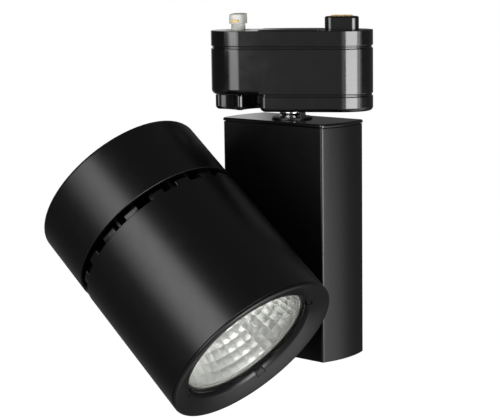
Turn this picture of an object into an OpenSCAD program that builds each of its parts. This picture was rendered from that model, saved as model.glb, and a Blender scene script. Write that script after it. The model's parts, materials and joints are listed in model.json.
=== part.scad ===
// Track spotlight: a track adapter, a driver box that swivels below it, and a
// round lamp head that tilts on the side of the box.
//
// Frame: the origin is on the swivel axis where the adapter meets the underside
// of the track. +X runs along the track away from the lock knob, +Z is up.
// The box is built in its own frame (its long side along X) and then turned by
// swivel_angle. The head is built along its optical axis: z is the distance
// behind the front rim, and the arm lies on the head's +Y side.

/* [Adapter] */
// Length of the adapter along the track
adapter_len = 105.5; // [98:0.5:112]
// Width of the adapter, which is also the diameter of its round ends
adapter_wid = 36; // [34:0.5:38]
// Depth of the joint line between cap and body
cap_split = 11.3; // [10:0.1:13]
// Depth of the joint line between body and cover
cover_split = 41.9; // [38:0.1:44]
// Depth of the underside of the adapter
adapter_drop = 52.4; // [51:0.1:53]
// Wall thickness of the adapter shells
adapter_wall = 2.2; // [1.8:0.1:2.6]
// Radius along the lower edge of the cover
cover_edge_r = 2.6; // [2:0.1:3]
// Distance of the cover's end face from the swivel axis
cover_reach = 18.6; // [18:0.1:19.5]
// Radius of the lock knob over its wings
knob_r = 15.4; // [14:0.1:16]
// Width of one knob wing
wing_w = 5.6; // [4.5:0.1:6.5]
// Quarter turn position of the knob wings, away from the track direction
knob_turn = 12.5; // [0:0.5:20]

/* [Arm] */
// Length of the driver box between its vertical corners
box_len = 83.5; // [80:0.5:88]
// Width of the driver box over its flat sides
box_wid = 41.5; // [40:0.5:44]
// Crown of the two curved end walls
box_bow = 3.6; // [3:0.1:4.2]
// Radius of the vertical corners
box_corner_r = 2; // [1.6:0.1:2.4]
// Height of the lid's top below the track
lid_top = 57.8; // [57.5:0.1:59]
// Height of the box's underside below the track
box_bottom = 210.5; // [205:0.1:215]
// Wall thickness of the box
box_wall = 2.2; // [2:0.1:2.6]
// Angle of the arm from the track direction, clockwise from above
swivel_angle = 31.3; // [0:0.1:90]

/* [Head] */
// Outer diameter of the lamp head
head_dia = 116.5; // [114:0.5:120]
// Length of the head from the front rim to the rear face
head_len = 145.5; // [143:0.5:150]
// Wall thickness of barrel and rear cap
head_wall = 2.3; // [2:0.1:2.6]
// Where the seam behind the front ring starts, from the front
seam_at = 2; // [1.6:0.1:2.6]
// Where the barrel ends and the vents start, from the front
vent_start = 94.6; // [93:0.1:97]
// Where the rear cap starts, from the front
cap_start = 101.8; // [101:0.1:104]
// Number of vent openings round the head
vent_count = 19; // [16:1:24]
// Angle that one vent opening spans
vent_span = 9.2; // [8:0.1:10]
// Tilt of the head away from pointing straight down
tilt_angle = 51; // [0:0.5:90]
// Distance of the tilt axis behind the front rim
pivot_back = 56.6; // [56:0.1:58]
// Depth of the tilt axis below the track
pivot_drop = 154.4; // [153:0.1:156]
// Free gap between the box and the barrel
head_gap = 10; // [9.5:0.1:12]

/* [Optics] */
// Radius of the bore that takes a front accessory
bore_r = 44.4; // [44:0.1:45]
// Depth of the front glass behind the rim
glass_at = 8; // [7.5:0.1:8.4]
// Thickness of the front glass
glass_t = 3; // [2.5:0.1:3.2]
// Radius of the reflector's mouth
mouth_r = 41; // [40:0.1:42]
// Facets of the reflector round its axis
facet_cols = 40; // [24:2:48]
// Facets of the reflector from mouth to throat
facet_rows = 9; // [6:1:12]

/* [Hidden] */

$fn = 64;
big = 400;            // larger than any piece, for half-space cuts
satin_black = [0.06, 0.06, 0.065];
gloss_black = [0.03, 0.03, 0.032];
bare_alu = [0.72, 0.73, 0.74];
steel = [0.6, 0.6, 0.62];
brass = [0.78, 0.6, 0.25];
nylon = [0.85, 0.84, 0.8];

// Adapter
half_wid = adapter_wid / 2;
end_x = (adapter_len - adapter_wid) / 2;   // centre of each round end
knob_x = -end_x;
groove_w = 1.6;       // open width of a joint line
neck_in = 1.35;       // depth of a joint line
bead_in = 0.55;       // depth of the bead that runs in a joint line
bead_h = 0.7;
bead_c = 0.15;
edge_c = 0.4;         // small chamfer beside a joint line
top_z = -0.6;         // top of the cap round the raised seat
seat_len = 40;
seat_wid = 24;
cap_floor_z = -3.6;   // underside of the cap's top wall
cap_low = -(cap_split - groove_w / 2);
body_top = -(cap_split + groove_w / 2);
body_low = -(cover_split - groove_w / 2);
cover_top = -(cover_split + groove_w / 2);
cover_low = -adapter_drop;
knob_edge_r = 3.6;    // lower edge of the body above the knob
cover_floor_t = 2.4;
cover_screw_at = [[43, 0], [-12.4, 12.8], [-12.4, -12.8]];
cover_screw_r = 2.8;  // flat head of a cover screw
screw_boss_r = 3.2;
rotor_seat_r = 9;
guide_x = end_x - 2;
guide_len = 22;
guide_wid = 9.4;
guide_top = 8;
lock_shaft_r = 4;

// Swivel
stem_r = 5.5;
stem_bore_r = 3.4;
run_fit = 0.05;       // radial clearance of a turning fit
bush_r = 8;
bush_flange_r = 10.5;
bush_top = -43;
stop_r = 12.8;        // radius of stop tab and stop pin
stop_at = 131;        // direction of the stop pin
stop_disc_r = 13.3;
stop_disc_t = 1.2;

// Box
bow_r = (pow(box_wid / 2, 2) + pow(box_bow, 2)) / (2 * box_bow);
bow_x = box_len / 2 + box_bow - bow_r;     // centre of the end wall's curve
lid_t = 2;
lid_lap = 0.5;
lid_c = 0.7;          // softened upper edge of the lid
seam_t = 0.5;         // shadow line under the lid
box_top = -(lid_top + lid_t + seam_t);
box_low = -box_bottom;
box_floor_t = 2.4;
bridge_top = -63.6;
bridge_t = 2.5;
board_y = 5;
board_t = 1.6;
board_front = board_y - board_t / 2;
rail_t = 1.6;

// Tilt joint, measured from the swivel axis towards the head (-Y)
box_face = -box_wid / 2;
head_r = head_dia / 2;
head_off = box_wid / 2 + head_gap + head_r;
hub_r = 15;
hub_t = 3;
hub_bore_r = 5;
disc_t = 1;
boss_r = 15;
boss_face = box_face - hub_t - disc_t;
spigot_r = 8;
hub_back = -box_face - 3;                  // rear end of the hub's spigot
spring_t = 1;
nut_t = 4.4;
spigot_end = -box_face + head_gap + head_wall + 2.1;   // end of the boss in the barrel
bolt_head_t = 2.6;
hub_screw_x = 12;

// Head, along the axis from the front rim
inner_r = head_r - head_wall;
sink_at = 71.6;       // front face of the heat sink
sink_t = 6;
sink_len = 136;
finger_end = cap_start - 2.9;
finger_inset = 0.35;  // step from the barrel down to the fingers
finger_tip_r = 1.6;   // outer rear corner of a finger
pillar_r = 30;
lug_r = 50.4;
flange_at = glass_at + glass_t + 0.6;     // front of the reflector's rim
flange_t = 1;
pocket_r = 46.4;
throat_r = 10.4;
holder_t = 4;
throat_at = sink_at - board_t - holder_t;
clip_turn = 45.2;
clip_w = 5.4;
clip_gap = 0.45;      // free slot on each side of a clip
seam_w = 0.4;
rim_r = 1.8;
ring_back = flange_at + flange_t;
boss_screw_at = 11.3;
lug_turns = [30, 150, 270];
pillar_turns = [0, 120, 240];
vent_in_r = inner_r - 2.6;
vent_w = 2 * head_r * sin(vent_span / 2);
vent_floor = vent_start - 0.2;
vent_turn = 10.84;     // middle of the first vent opening
cap_t = 3;
fin_count = 24;
fin_t = 1.8;
holder_screw_x = 18.6;

// ---------------------------------------------------------------- helpers

// A long body with half-round ends; the child is its half section, x >= 0.
module stadium(len, wid) {
  run = len - wid;
  for (side = [-1, 1])
    translate([side * run / 2, 0, 0]) rotate([0, 0, -90 * side])
      rotate_extrude(angle = 180) children();
  rotate([90, 0, 90]) translate([0, 0, -run / 2]) linear_extrude(run) {
    children();
    mirror([1, 0]) children();
  }
}

// Rectangle from the axis out to r, with arcs at its two outer corners.
module half_section(r, z0, z1, low_r = 0, high_r = 0) {
  difference() {
    translate([0, z0]) square([r, z1 - z0]);
    if (low_r > 0) translate([r - low_r, z0 + low_r]) difference() {
      translate([0, -2 * low_r]) square(2 * low_r);
      circle(low_r);
    }
    if (high_r > 0) translate([r - high_r, z1 - high_r]) difference() {
      square(2 * high_r);
      circle(high_r);
    }
  }
}

// Rectangle from the axis out to r, with a chamfer at both outer corners.
module chamfer_section(r, z0, z1, c) {
  polygon([[0, z0], [r - c, z0], [r, z0 + c], [r, z1 - c], [r - c, z1], [0, z1]]);
}

// Everything on the +X side of a plane, or on the -X side.
module plus_x(x) translate([x, -big / 2, -big / 2]) cube(big);
module minus_x(x) translate([x - big, -big / 2, -big / 2]) cube(big);

// Hollow round stock along z.
module tube(r_out, r_in, z0, z1) {
  translate([0, 0, z0]) difference() {
    cylinder(r = r_out, h = z1 - z0);
    translate([0, 0, -1]) cylinder(r = r_in, h = z1 - z0 + 2);
  }
}

// A screw pointing up: head below z = 0, shank above it.
module screw(shank_r, shank_l, head_r, head_h, key_r) {
  difference() {
    union() {
      cylinder(r = shank_r, h = shank_l);
      translate([0, 0, -head_h]) cylinder(r = head_r, h = head_h);
    }
    translate([0, 0, -head_h - 1]) cylinder(r = key_r, h = 0.6 * head_h + 1, $fn = 6);
  }
}

// Countersunk screw pointing up, its flat head flush with z = 0.
module flat_screw(shank_r, shank_l, head_r, head_h, key_r) {
  difference() {
    union() {
      cylinder(r = shank_r, h = shank_l);
      rotate_extrude() polygon([[0, 0], [head_r, 0], [shank_r, head_h], [0, head_h]]);
    }
    translate([0, 0, -1]) cylinder(r = key_r, h = 0.7 * head_h + 1, $fn = 6);
  }
}

// Hole for a flat_screw: its head cone and a slightly wider shank hole.
module flat_hole(shank_r, depth, head_r, head_h) {
  rotate_extrude() polygon([[0, -1], [head_r, -1], [head_r, 0], [shank_r, head_h], [0, head_h]]);
  translate([0, 0, -1]) cylinder(r = shank_r + run_fit, h = depth + 1);
}

// Plan of the driver box with exact arcs, set in by a distance.
module box_plan(inset = 0) {
  w = box_wid / 2 - inset;
  big_r = bow_r - inset;
  corner = max(box_corner_r - inset, 0.4);
  fy = w - corner;
  fx = bow_x + sqrt(pow(big_r - corner, 2) - fy * fy);
  reach = big_r / (big_r - corner);
  for (side = [-1, 1]) scale([side, 1]) {
    translate([0, -w]) square([fx, 2 * w]);
    for (end = [-1, 1]) translate([fx, end * fy]) circle(corner);
    intersection() {
      translate([bow_x, 0]) circle(big_r, $fn = 240);
      polygon([[bow_x, 0], [bow_x + (fx - bow_x) * reach * 1.2, fy * reach * 1.2],
               [bow_x + (fx - bow_x) * reach * 1.2, -fy * reach * 1.2]]);
    }
  }
}

// Points of the same plan, used where the edge is softened.
function arc_points(cx, cy, r, a0, a1, n) =
  [for (i = [0:n]) let (a = a0 + (a1 - a0) * i / n) [cx + r * cos(a), cy + r * sin(a)]];
function half_plan_points(inset, corner) =
  let (w = box_wid / 2 - inset, big_r = bow_r - inset, fy = w - corner,
       fx = bow_x + sqrt(pow(big_r - corner, 2) - fy * fy),
       a = asin(fy / (big_r - corner)))
  concat(arc_points(fx, -fy, corner, -90, -a, 4), arc_points(bow_x, 0, big_r, -a, a, 12),
         arc_points(fx, fy, corner, a, 90, 4));
module plan_slice(inset, corner, z, h) {
  pts = half_plan_points(inset, corner);
  translate([0, 0, z]) linear_extrude(h)
    polygon(concat(pts, [for (p = pts) -p]));
}

// Frames of the moving bodies.
module arm_frame() rotate([0, 0, -swivel_angle]) children();
module tilt_frame() arm_frame() translate([0, 0, -pivot_drop]) rotate([90, 0, 0]) children();
module head_frame() arm_frame() translate([0, -head_off, -pivot_drop])
  rotate([0, -tilt_angle, 0]) translate([0, 0, -pivot_back]) children();

// ---------------------------------------------------------------- adapter

// Neck of a joint line from low to high, with a bead at its middle height.
module joint_neck(depth, low, high) {
  stadium(adapter_len - 2 * neck_in, adapter_wid - 2 * neck_in)
    half_section(half_wid - neck_in, low, high);
  stadium(adapter_len - 2 * bead_in, adapter_wid - 2 * bead_in)
    chamfer_section(half_wid - bead_in, -depth - bead_h / 2, -depth + bead_h / 2, bead_c);
}

module adapter_cap() color(gloss_black) difference() {
  union() {
    stadium(adapter_len, adapter_wid) chamfer_section(half_wid, cap_low, top_z, edge_c);
    translate([-seat_len / 2, -seat_wid / 2, top_z - 1]) cube([seat_len, seat_wid, 1 - top_z]);
  }
  stadium(adapter_len - 2 * adapter_wall, adapter_wid - 2 * adapter_wall)
    half_section(half_wid - adapter_wall, cap_low - 1, cap_floor_z);
  translate([knob_x, 0, cap_floor_z - 1]) cylinder(r = rotor_seat_r + run_fit, h = 5);
  translate([guide_x, 0, 0]) stadium(guide_len + 0.1, guide_wid + 0.1)
    half_section(guide_wid / 2 + 0.05, cap_floor_z - 1, 1);
}

module adapter_body() color(gloss_black) difference() {
  union() {
    intersection() {
      stadium(adapter_len, adapter_wid) chamfer_section(half_wid, body_low, body_top, edge_c);
      plus_x(-cover_reach);
    }
    intersection() {
      stadium(adapter_len, adapter_wid)
        half_section(half_wid, -cover_split, body_top, knob_edge_r, edge_c);
      minus_x(-cover_reach);
    }
    joint_neck(cap_split, body_top - 1, cap_low);
  }
  difference() {
    stadium(adapter_len - 2 * adapter_wall, adapter_wid - 2 * adapter_wall)
      half_section(half_wid - adapter_wall, body_low + 2.4, 0);
    for (at = cover_screw_at) translate([at[0], at[1], body_low])
      cylinder(r = screw_boss_r, h = 9);
    translate([knob_x, 0, body_low]) cylinder(r = 7, h = 6);
  }
  translate([0, 0, -cover_split - 1]) cylinder(r = 13.5, h = 6);
  translate([knob_x, 0, -cover_split - 1]) cylinder(r = lock_shaft_r + run_fit, h = 12);
  for (at = cover_screw_at) translate([at[0], at[1], body_low - 2])
    cylinder(r = 1.5 + run_fit, h = 10);
}

module cover_outline() {
  intersection() {
    stadium(adapter_len, adapter_wid)
      difference() {
        half_section(half_wid, cover_low, cover_top, cover_edge_r, 0);
        translate([half_wid, cover_top]) rotate(45) square(2 * edge_c * sin(45), center = true);
      }
    // end face with a rounded lower edge
    rotate([90, 0, 0]) translate([0, 0, -big / 2]) linear_extrude(big) difference() {
      translate([-cover_reach, cover_low - 1]) square([big, adapter_drop]);
      translate([-cover_reach, cover_low]) difference() {
        translate([-2, -2]) square(7);
        translate([5, 5]) circle(5);
      }
    }
    // end face with rounded upright corners
    translate([0, 0, cover_low - 1]) linear_extrude(adapter_drop) {
      translate([-cover_reach + 4, -half_wid - 1]) square([big, adapter_wid + 2]);
      translate([-cover_reach, -half_wid + 4]) square([8, adapter_wid - 8]);
      for (side = [-1, 1]) translate([-cover_reach + 4, side * (half_wid - 4)]) circle(4);
    }
  }
}

module adapter_cover() color(gloss_black) difference() {
  union() {
    cover_outline();
    intersection() {
      joint_neck(cover_split, cover_top - 1, body_low);
      plus_x(-cover_reach + bead_in);
    }
  }
  difference() {
    intersection() {
      stadium(adapter_len - 2 * adapter_wall, adapter_wid - 2 * adapter_wall)
        half_section(half_wid - adapter_wall, cover_low + cover_floor_t, 0);
      plus_x(-cover_reach + adapter_wall);
    }
    translate([0, 0, cover_low]) cylinder(r = 11, h = bush_top - cover_low);
    for (at = cover_screw_at) translate([at[0], at[1], cover_low])
      cylinder(r = screw_boss_r, h = body_low - cover_low);
  }
  translate([0, 0, cover_low - 1]) cylinder(r = bush_r, h = 20);
  rotate([0, 0, stop_at]) translate([stop_r, 0, cover_low - 1]) cylinder(r = 1.45, h = 2.8);
  for (at = cover_screw_at) translate([at[0], at[1], cover_low])
    flat_hole(1.5, 20, cover_screw_r, 1.6);
}

module cover_screws() color(steel) for (at = cover_screw_at)
  translate([at[0], at[1], cover_low]) flat_screw(1.5, 17.5, cover_screw_r, 1.6, 1.2);

module track_guide() color(gloss_black) translate([guide_x, 0, 0]) difference() {
  union() {
    stadium(guide_len + 4, guide_wid + 4)
      half_section(guide_wid / 2 + 2, cap_floor_z - 1.6, cap_floor_z);
    stadium(guide_len, guide_wid) half_section(guide_wid / 2, cap_floor_z - 1, guide_top, 0, 1.2);
  }
  translate([-guide_len / 2 + 2, -1, guide_top - 3]) cube([guide_len - 4, 2, 4]);
}

module ground_contact() color(brass) translate([guide_x, 0, guide_top - 3])
  rotate([90, 0, 0]) translate([0, 0, -1]) linear_extrude(2)
    polygon([[-guide_len / 2 + 2, 0], [guide_len / 2 - 2, 0], [guide_len / 2 - 2, 2.6],
             [guide_len / 2 - 5, 3.8], [-guide_len / 2 + 5, 3.8], [-guide_len / 2 + 2, 2.6]]);

module terminal_block() color(nylon) translate([25, 0, body_low + 2.4]) difference() {
  translate([-9, -7, 0]) cube([18, 14, 11]);
  for (side = [-1, 1]) translate([side * 4.5, 0, 0]) {
    translate([0, 0, 4]) cylinder(r = 1.8, h = 10);
    translate([0, 0, 4.5]) rotate([90, 0, 0]) cylinder(r = 1.4, h = 40, center = true);
  }
}

module swivel_bush() color(brass) difference() {
  union() {
    translate([0, 0, cover_low]) cylinder(r = bush_r, h = bush_top - cover_low);
    translate([0, 0, bush_top]) cylinder(r = bush_flange_r, h = 1.5);
  }
  translate([0, 0, cover_low - 1]) cylinder(r = stem_r + run_fit, h = 20);
}

module stop_pin() color(steel) rotate([0, 0, stop_at]) translate([stop_r, 0, cover_low])
  translate([0, 0, -3.2]) cylinder(r = 1.4, h = 5);

// ---------------------------------------------------------------- track lock

module knob_plan() {
  circle(8.6);
  for (turn = [0:90:270]) rotate(turn) {
    translate([0, -wing_w / 2]) square([knob_r - wing_w / 2, wing_w]);
    translate([knob_r - wing_w / 2, 0]) circle(wing_w / 2);
  }
}

module lock_knob() color(gloss_black) translate([knob_x, 0, 0]) rotate([0, 0, knob_turn])
  difference() {
    union() {
      intersection() {
        translate([0, 0, -51.6]) linear_extrude(9.4) knob_plan();
        rotate_extrude() half_section(knob_r + 0.01, -51.6, -42.2, 3, 0);
      }
      translate([0, 0, -43.4]) cylinder(r = 11, h = 1.2);
    }
    translate([0, 0, -46]) cylinder(r = lock_shaft_r, h = 10);
  }

module lock_shaft() color(steel) translate([knob_x, 0, -46]) cylinder(r = lock_shaft_r, h = 39);

module contact_rotor() color(nylon) translate([knob_x, 0, 0]) difference() {
  union() {
    translate([0, 0, -11]) cylinder(r = 12, h = 11 + cap_floor_z);
    translate([0, 0, cap_floor_z]) cylinder(r = rotor_seat_r, h = top_z - cap_floor_z);
    translate([0, 0, top_z]) cylinder(r = 4.6, h = 9);
    rotate([0, 0, 90]) translate([0, 0, 3.6]) stadium(22, 9.2) half_section(4.6, 0, 6.4, 0, 1);
  }
  translate([0, 0, -12]) cylinder(r = lock_shaft_r, h = 5);
  for (side = [-1, 1]) scale([1, side, 1]) translate([-2.5, 6, 5]) cube([5, 8, 1.2]);
}

module contact_blades() color(brass) translate([knob_x, 0, 0]) for (side = [-1, 1])
  scale([1, side, 1]) translate([-2.5, 6, 5]) cube([5, 7.4, 1.2]);

// ---------------------------------------------------------------- swivel

module swivel_stem() color(steel) tube(stem_r, stem_bore_r, -74, -35.4);

module stem_collar() color(steel) difference() {
  translate([0, 0, -40.6]) cylinder(r = 9, h = 4, $fn = 6);
  translate([0, 0, -42]) cylinder(r = stem_r, h = 8, $fn = 64);
}

module thrust_washer() color(nylon) tube(9.6, stem_r + run_fit, bush_top + 1.5, -40.6);

module stem_nut() color([0.85, 0.85, 0.87]) difference() {
  union() {
    translate([0, 0, -lid_top + stop_disc_t]) cylinder(r = 8.2, h = 1.7);
    translate([0, 0, -lid_top + stop_disc_t]) cylinder(r = 7.2, h = 3.2);
    translate([0, 0, -lid_top + stop_disc_t + 2.1]) rotate_extrude() half_section(7.8, 0, 1.8, 0, 0.6);
  }
  translate([0, 0, -lid_top]) cylinder(r = stem_r, h = 8);
}

module stop_washer() color(gloss_black) rotate([0, 0, stop_at + 180]) difference() {
  union() {
    translate([0, 0, -lid_top]) cylinder(r = stop_disc_r, h = stop_disc_t);
    translate([stop_r - 0.6, -2.1, -lid_top]) cube([1.2, 4.2, 4.7]);
  }
  translate([0, 0, -lid_top - 1]) cylinder(r = stem_r, h = 4);
}

// ---------------------------------------------------------------- driver box

module arm_lid() color(satin_black) arm_frame() difference() {
  union() {
    hull() {
      plan_slice(-lid_lap, box_corner_r + lid_lap, -lid_top - lid_t, lid_t - lid_c);
      plan_slice(lid_c - lid_lap, box_corner_r, -lid_top - 0.2, 0.2);
    }
    translate([0, 0, box_top]) linear_extrude(seam_t + 0.5) box_plan(1);
    translate([0, 0, box_top - 1.2]) linear_extrude(2) box_plan(box_wall + 0.1);
    translate([0, 0, bridge_top]) cylinder(r = 10, h = 4);
  }
  translate([0, 0, bridge_top - 1]) cylinder(r = stem_r, h = 10);
}

module arm_bridge() color(steel) arm_frame() difference() {
  translate([-40, -8, bridge_top - bridge_t]) cube([80, 16, bridge_t]);
  translate([0, 0, bridge_top - 5]) cylinder(r = stem_r, h = 10);
  for (side = [-1, 1]) translate([side * 35, 0, bridge_top - 5])
    cylinder(r = 1.6 + run_fit, h = 10);
}

module bridge_screws() color(steel) arm_frame() for (side = [-1, 1])
  translate([side * 35, 0, bridge_top]) mirror([0, 0, 1]) screw(1.6, 8, 2.9, 1.6, 1.3);

module stem_locknut() color(steel) difference() {
  translate([0, 0, bridge_top - bridge_t - 4]) cylinder(r = 9, h = 4, $fn = 6);
  translate([0, 0, bridge_top - 10]) cylinder(r = stem_r, h = 12, $fn = 64);
}

module arm_housing() color(satin_black) arm_frame() difference() {
  union() {
    difference() {
      translate([0, 0, box_low]) linear_extrude(box_top - box_low) box_plan();
      translate([0, 0, box_low + box_floor_t]) linear_extrude(big) box_plan(box_wall);
    }
    intersection() {
      translate([0, 0, box_low + 1]) linear_extrude(big) box_plan(1);
      union() {
        // seats for the bridge
        for (side = [-1, 1]) translate([side * 38 - 8, -8, bridge_top - bridge_t - 8])
          cube([16, 16, 8]);
        // rails that hold the driver board
        for (side = [-1, 1], y = [board_front - rail_t, board_front + board_t])
          translate([side * 41 - 5, y, box_low + 1]) cube([10, rail_t, 120]);
      }
    }
  }
  for (side = [-1, 1]) translate([side * 35, 0, bridge_top - 12])
    cylinder(r = 1.6 + run_fit, h = 12);
  translate([0, box_face - 1, -pivot_drop]) rotate([-90, 0, 0])
    cylinder(r = spigot_r + run_fit, h = 5);
  for (side = [-1, 1]) translate([side * hub_screw_x, box_face - 1, -pivot_drop])
    rotate([-90, 0, 0]) cylinder(r = 1.6 + run_fit, h = 5);
}

module driver_board() color([0.1, 0.35, 0.18]) arm_frame()
  translate([-38, board_front, box_low + box_floor_t]) cube([76, board_t, 118]);

module driver_transformer() color([0.85, 0.75, 0.2]) arm_frame() translate([0, 0, -118]) {
  translate([-13, board_front - 3, -11]) cube([26, 3, 22]);
  translate([-10, board_front - 14, -9]) cube([20, 11, 18]);
  for (side = [-1, 1]) translate([side * 12.5 - 2.5, board_front - 15, -10]) cube([5, 12, 20]);
}

module driver_capacitors() color([0.15, 0.15, 0.3]) arm_frame()
  for (x = [-22, -6]) translate([x, board_front, -186]) rotate([90, 0, 0])
    rotate_extrude() half_section(6.3, 0, 16, 0.8, 0.8);

module driver_choke() color([0.5, 0.3, 0.15]) arm_frame()
  translate([19, board_front, -186]) rotate([90, 0, 0]) {
    rotate_extrude() translate([7.5, 4.5]) circle(3.5);
    rotate_extrude() translate([5, 0]) square([5, 2.5]);
  }

module driver_terminals() color(nylon) arm_frame() for (z = [-101, -200]) difference() {
  translate([-12, board_front - 8, z - 4.5]) cube([24, 8, 9]);
  for (x = [-8, 0, 8]) translate([x, board_front - 9, z]) rotate([-90, 0, 0]) cylinder(r = 2, h = 6);
}

// ---------------------------------------------------------------- tilt joint
// In tilt_frame, z runs from the swivel axis towards the head.

module tilt_hub() color(satin_black) tilt_frame() difference() {
  union() {
    translate([0, 0, -box_face]) rotate_extrude() half_section(hub_r, 0, hub_t, 0, 0.5);
    translate([0, 0, hub_back]) cylinder(r = spigot_r, h = 3.5);
  }
  translate([0, 0, -box_face - 4]) cylinder(r = hub_bore_r + run_fit, h = 10);
  for (side = [-1, 1]) translate([side * hub_screw_x, 0, -box_face - 1])
    cylinder(r = 1.6 + run_fit, h = 3.2);
}

module hub_screws() color(steel) tilt_frame() for (side = [-1, 1])
  translate([side * hub_screw_x, 0, -box_face - box_wall]) screw(1.6, 4.1, 2.4, 1.6, 1.1);

module friction_washer() color(nylon) tilt_frame()
  tube(13, hub_bore_r + run_fit, -box_face + hub_t, -box_face + hub_t + disc_t);

module head_boss() color(satin_black) tilt_frame() difference() {
  union() {
    difference() {
      translate([0, 0, -boss_face]) cylinder(r = boss_r, h = head_gap + 2);
      translate([0, 0, head_off]) rotate([0, 0, 90 + tilt_angle]) rotate([0, 90, 0])
        cylinder(r = head_r, h = big, center = true);
    }
    translate([0, 0, -boss_face]) cylinder(r = spigot_r, h = spigot_end + boss_face);
  }
  translate([0, 0, -boss_face - 1]) cylinder(r = hub_bore_r + run_fit, h = 20);
  for (side = [-1, 1]) rotate([0, 0, tilt_angle])
    translate([0, side * boss_screw_at, head_off - head_r - 3.4])
      cylinder(r = 1.6 + run_fit, h = 10);
}

module boss_screws() color(steel) head_frame() for (side = [-1, 1])
  translate([0, inner_r - 0.06, pivot_back + side * boss_screw_at]) rotate([-90, 0, 0])
    screw(1.6, 5.4, 2.4, 1.6, 1.1);

module tilt_bolt() color(steel) tilt_frame() {
  tube(hub_bore_r, 3, hub_back - spring_t - nut_t - 1.6, spigot_end + 0.5);
  difference() {
    translate([0, 0, spigot_end]) cylinder(r = 7.6, h = bolt_head_t, $fn = 6);
    translate([0, 0, spigot_end - 1]) cylinder(r = 3, h = bolt_head_t + 2, $fn = 64);
  }
}

module spring_washer() color(steel) tilt_frame() translate([0, 0, hub_back - spring_t])
  rotate_extrude() polygon([[5.1, 0], [7.8, 0.4], [7.8, spring_t], [5.1, spring_t - 0.4]]);

module tilt_nut() color(steel) tilt_frame() translate([0, 0, hub_back - spring_t - nut_t])
  difference() {
    cylinder(r = 8.6, h = nut_t, $fn = 6);
    translate([0, 0, -1]) cylinder(r = hub_bore_r, h = nut_t + 2, $fn = 64);
  }

// ---------------------------------------------------------------- head shells

module barrel() color(satin_black) head_frame() difference() {
  union() {
    rotate_extrude() polygon([
      [inner_r, seam_at + seam_w], [head_r - 0.3, seam_at + seam_w],
      [head_r, seam_at + seam_w + 0.3], [head_r, vent_start - 0.5],
      [head_r - 0.5, vent_start], [inner_r, vent_start]]);
    intersection() {
      translate([0, 0, sink_at - 10]) cylinder(r = inner_r + 1, h = 10);
      for (turn = lug_turns) rotate([0, 0, turn]) {
        translate([lug_r, 0, 0]) cylinder(r = 5, h = sink_at);
        translate([lug_r, -5, 0]) cube([10, 10, sink_at]);
      }
    }
  }
  // groove for the snap beads of the front ring
  rotate_extrude() translate([inner_r - 1, 9]) square([1.6, 2]);
  translate([0, inner_r - 5, pivot_back]) rotate([-90, 0, 0])
    cylinder(r = spigot_r + run_fit, h = 10);
  for (side = [-1, 1]) translate([0, inner_r - 5, pivot_back + side * boss_screw_at])
    rotate([-90, 0, 0]) cylinder(r = 1.6 + run_fit, h = 10);
  for (turn = lug_turns) rotate([0, 0, turn]) translate([lug_r, 0, sink_at - 9])
    cylinder(r = 1.6 + run_fit, h = 10);
}

module vent_ring() color(satin_black) head_frame() difference() {
  rotate_extrude() difference() {
    union() {
      half_section(inner_r - 0.05, vent_start - 9, vent_start + 1);
      half_section(head_r - finger_inset, vent_start, finger_end, 0, finger_tip_r);
    }
    half_section(vent_in_r, vent_start - 10, finger_end + 1);
  }
  for (i = [0:vent_count - 1]) rotate([0, 0, vent_turn + i * 360 / vent_count])
    translate([vent_in_r - 5, -vent_w / 2, vent_floor]) cube([15, vent_w, 20]);
}

module rear_cap() color(satin_black) head_frame() difference() {
  rotate_extrude() difference() {
    half_section(head_r, cap_start, head_len, 0, 2);
    half_section(inner_r, cap_start - 1, head_len - cap_t, 0, 1.5);
    translate([head_r, cap_start]) rotate(45) square(0.8, center = true);
  }
  for (turn = pillar_turns) rotate([0, 0, turn]) translate([pillar_r, 0, head_len])
    mirror([0, 0, 1]) flat_hole(1.5, 10, 3, 1.6);
}

module cap_screws() color(steel) head_frame() for (turn = pillar_turns)
  rotate([0, 0, turn]) translate([pillar_r, 0, head_len]) mirror([0, 0, 1])
    flat_screw(1.5, 12, 3, 1.6, 1.2);

// Star of radial fins on a round plate, with three pillars for the rear cap.
module heat_sink() color(bare_alu) head_frame() difference() {
  union() {
    translate([0, 0, sink_at]) cylinder(r = inner_r - 0.05, h = sink_t);
    translate([0, 0, sink_at + 1]) linear_extrude(sink_len - sink_at - 1) {
      circle(15);
      for (i = [0:fin_count - 1]) rotate((i + 0.5) * 360 / fin_count)
        translate([0, -fin_t / 2]) square([vent_in_r - 1.4, fin_t]);
    }
    for (turn = pillar_turns) rotate([0, 0, turn]) translate([pillar_r, 0, sink_at + 1])
      cylinder(r = 4.6, h = head_len - cap_t - sink_at - 1);
  }
  for (turn = pillar_turns) rotate([0, 0, turn]) translate([pillar_r, 0, head_len - 14])
    cylinder(r = 1.5 + run_fit, h = 20);
  for (turn = lug_turns) rotate([0, 0, turn]) translate([lug_r, 0, sink_at - 1])
    cylinder(r = 1.6 + run_fit, h = sink_t + 2);
  for (side = [-1, 1]) translate([side * holder_screw_x, 0, sink_at - 1])
    cylinder(r = 1.25 + run_fit, h = sink_t);
}

module sink_screws() color(steel) head_frame() for (turn = lug_turns) rotate([0, 0, turn])
  translate([lug_r, 0, sink_at + sink_t]) mirror([0, 0, 1]) screw(1.6, 12, 2.8, 1.8, 1.3);

// ---------------------------------------------------------------- optics

module led_board() color(bare_alu) head_frame() difference() {
  translate([0, 0, sink_at - board_t]) cylinder(r = 25, h = board_t);
  for (side = [-1, 1]) translate([side * holder_screw_x, 0, sink_at - 5])
    cylinder(r = 1.25 + run_fit, h = 10);
}

module led_chip() color([0.95, 0.8, 0.25]) head_frame() {
  translate([-9.5, -9.5, sink_at - board_t - 1]) cube([19, 19, 1]);
  translate([0, 0, sink_at - board_t - 1.5]) cylinder(r = 8.7, h = 0.6);
}

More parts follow.
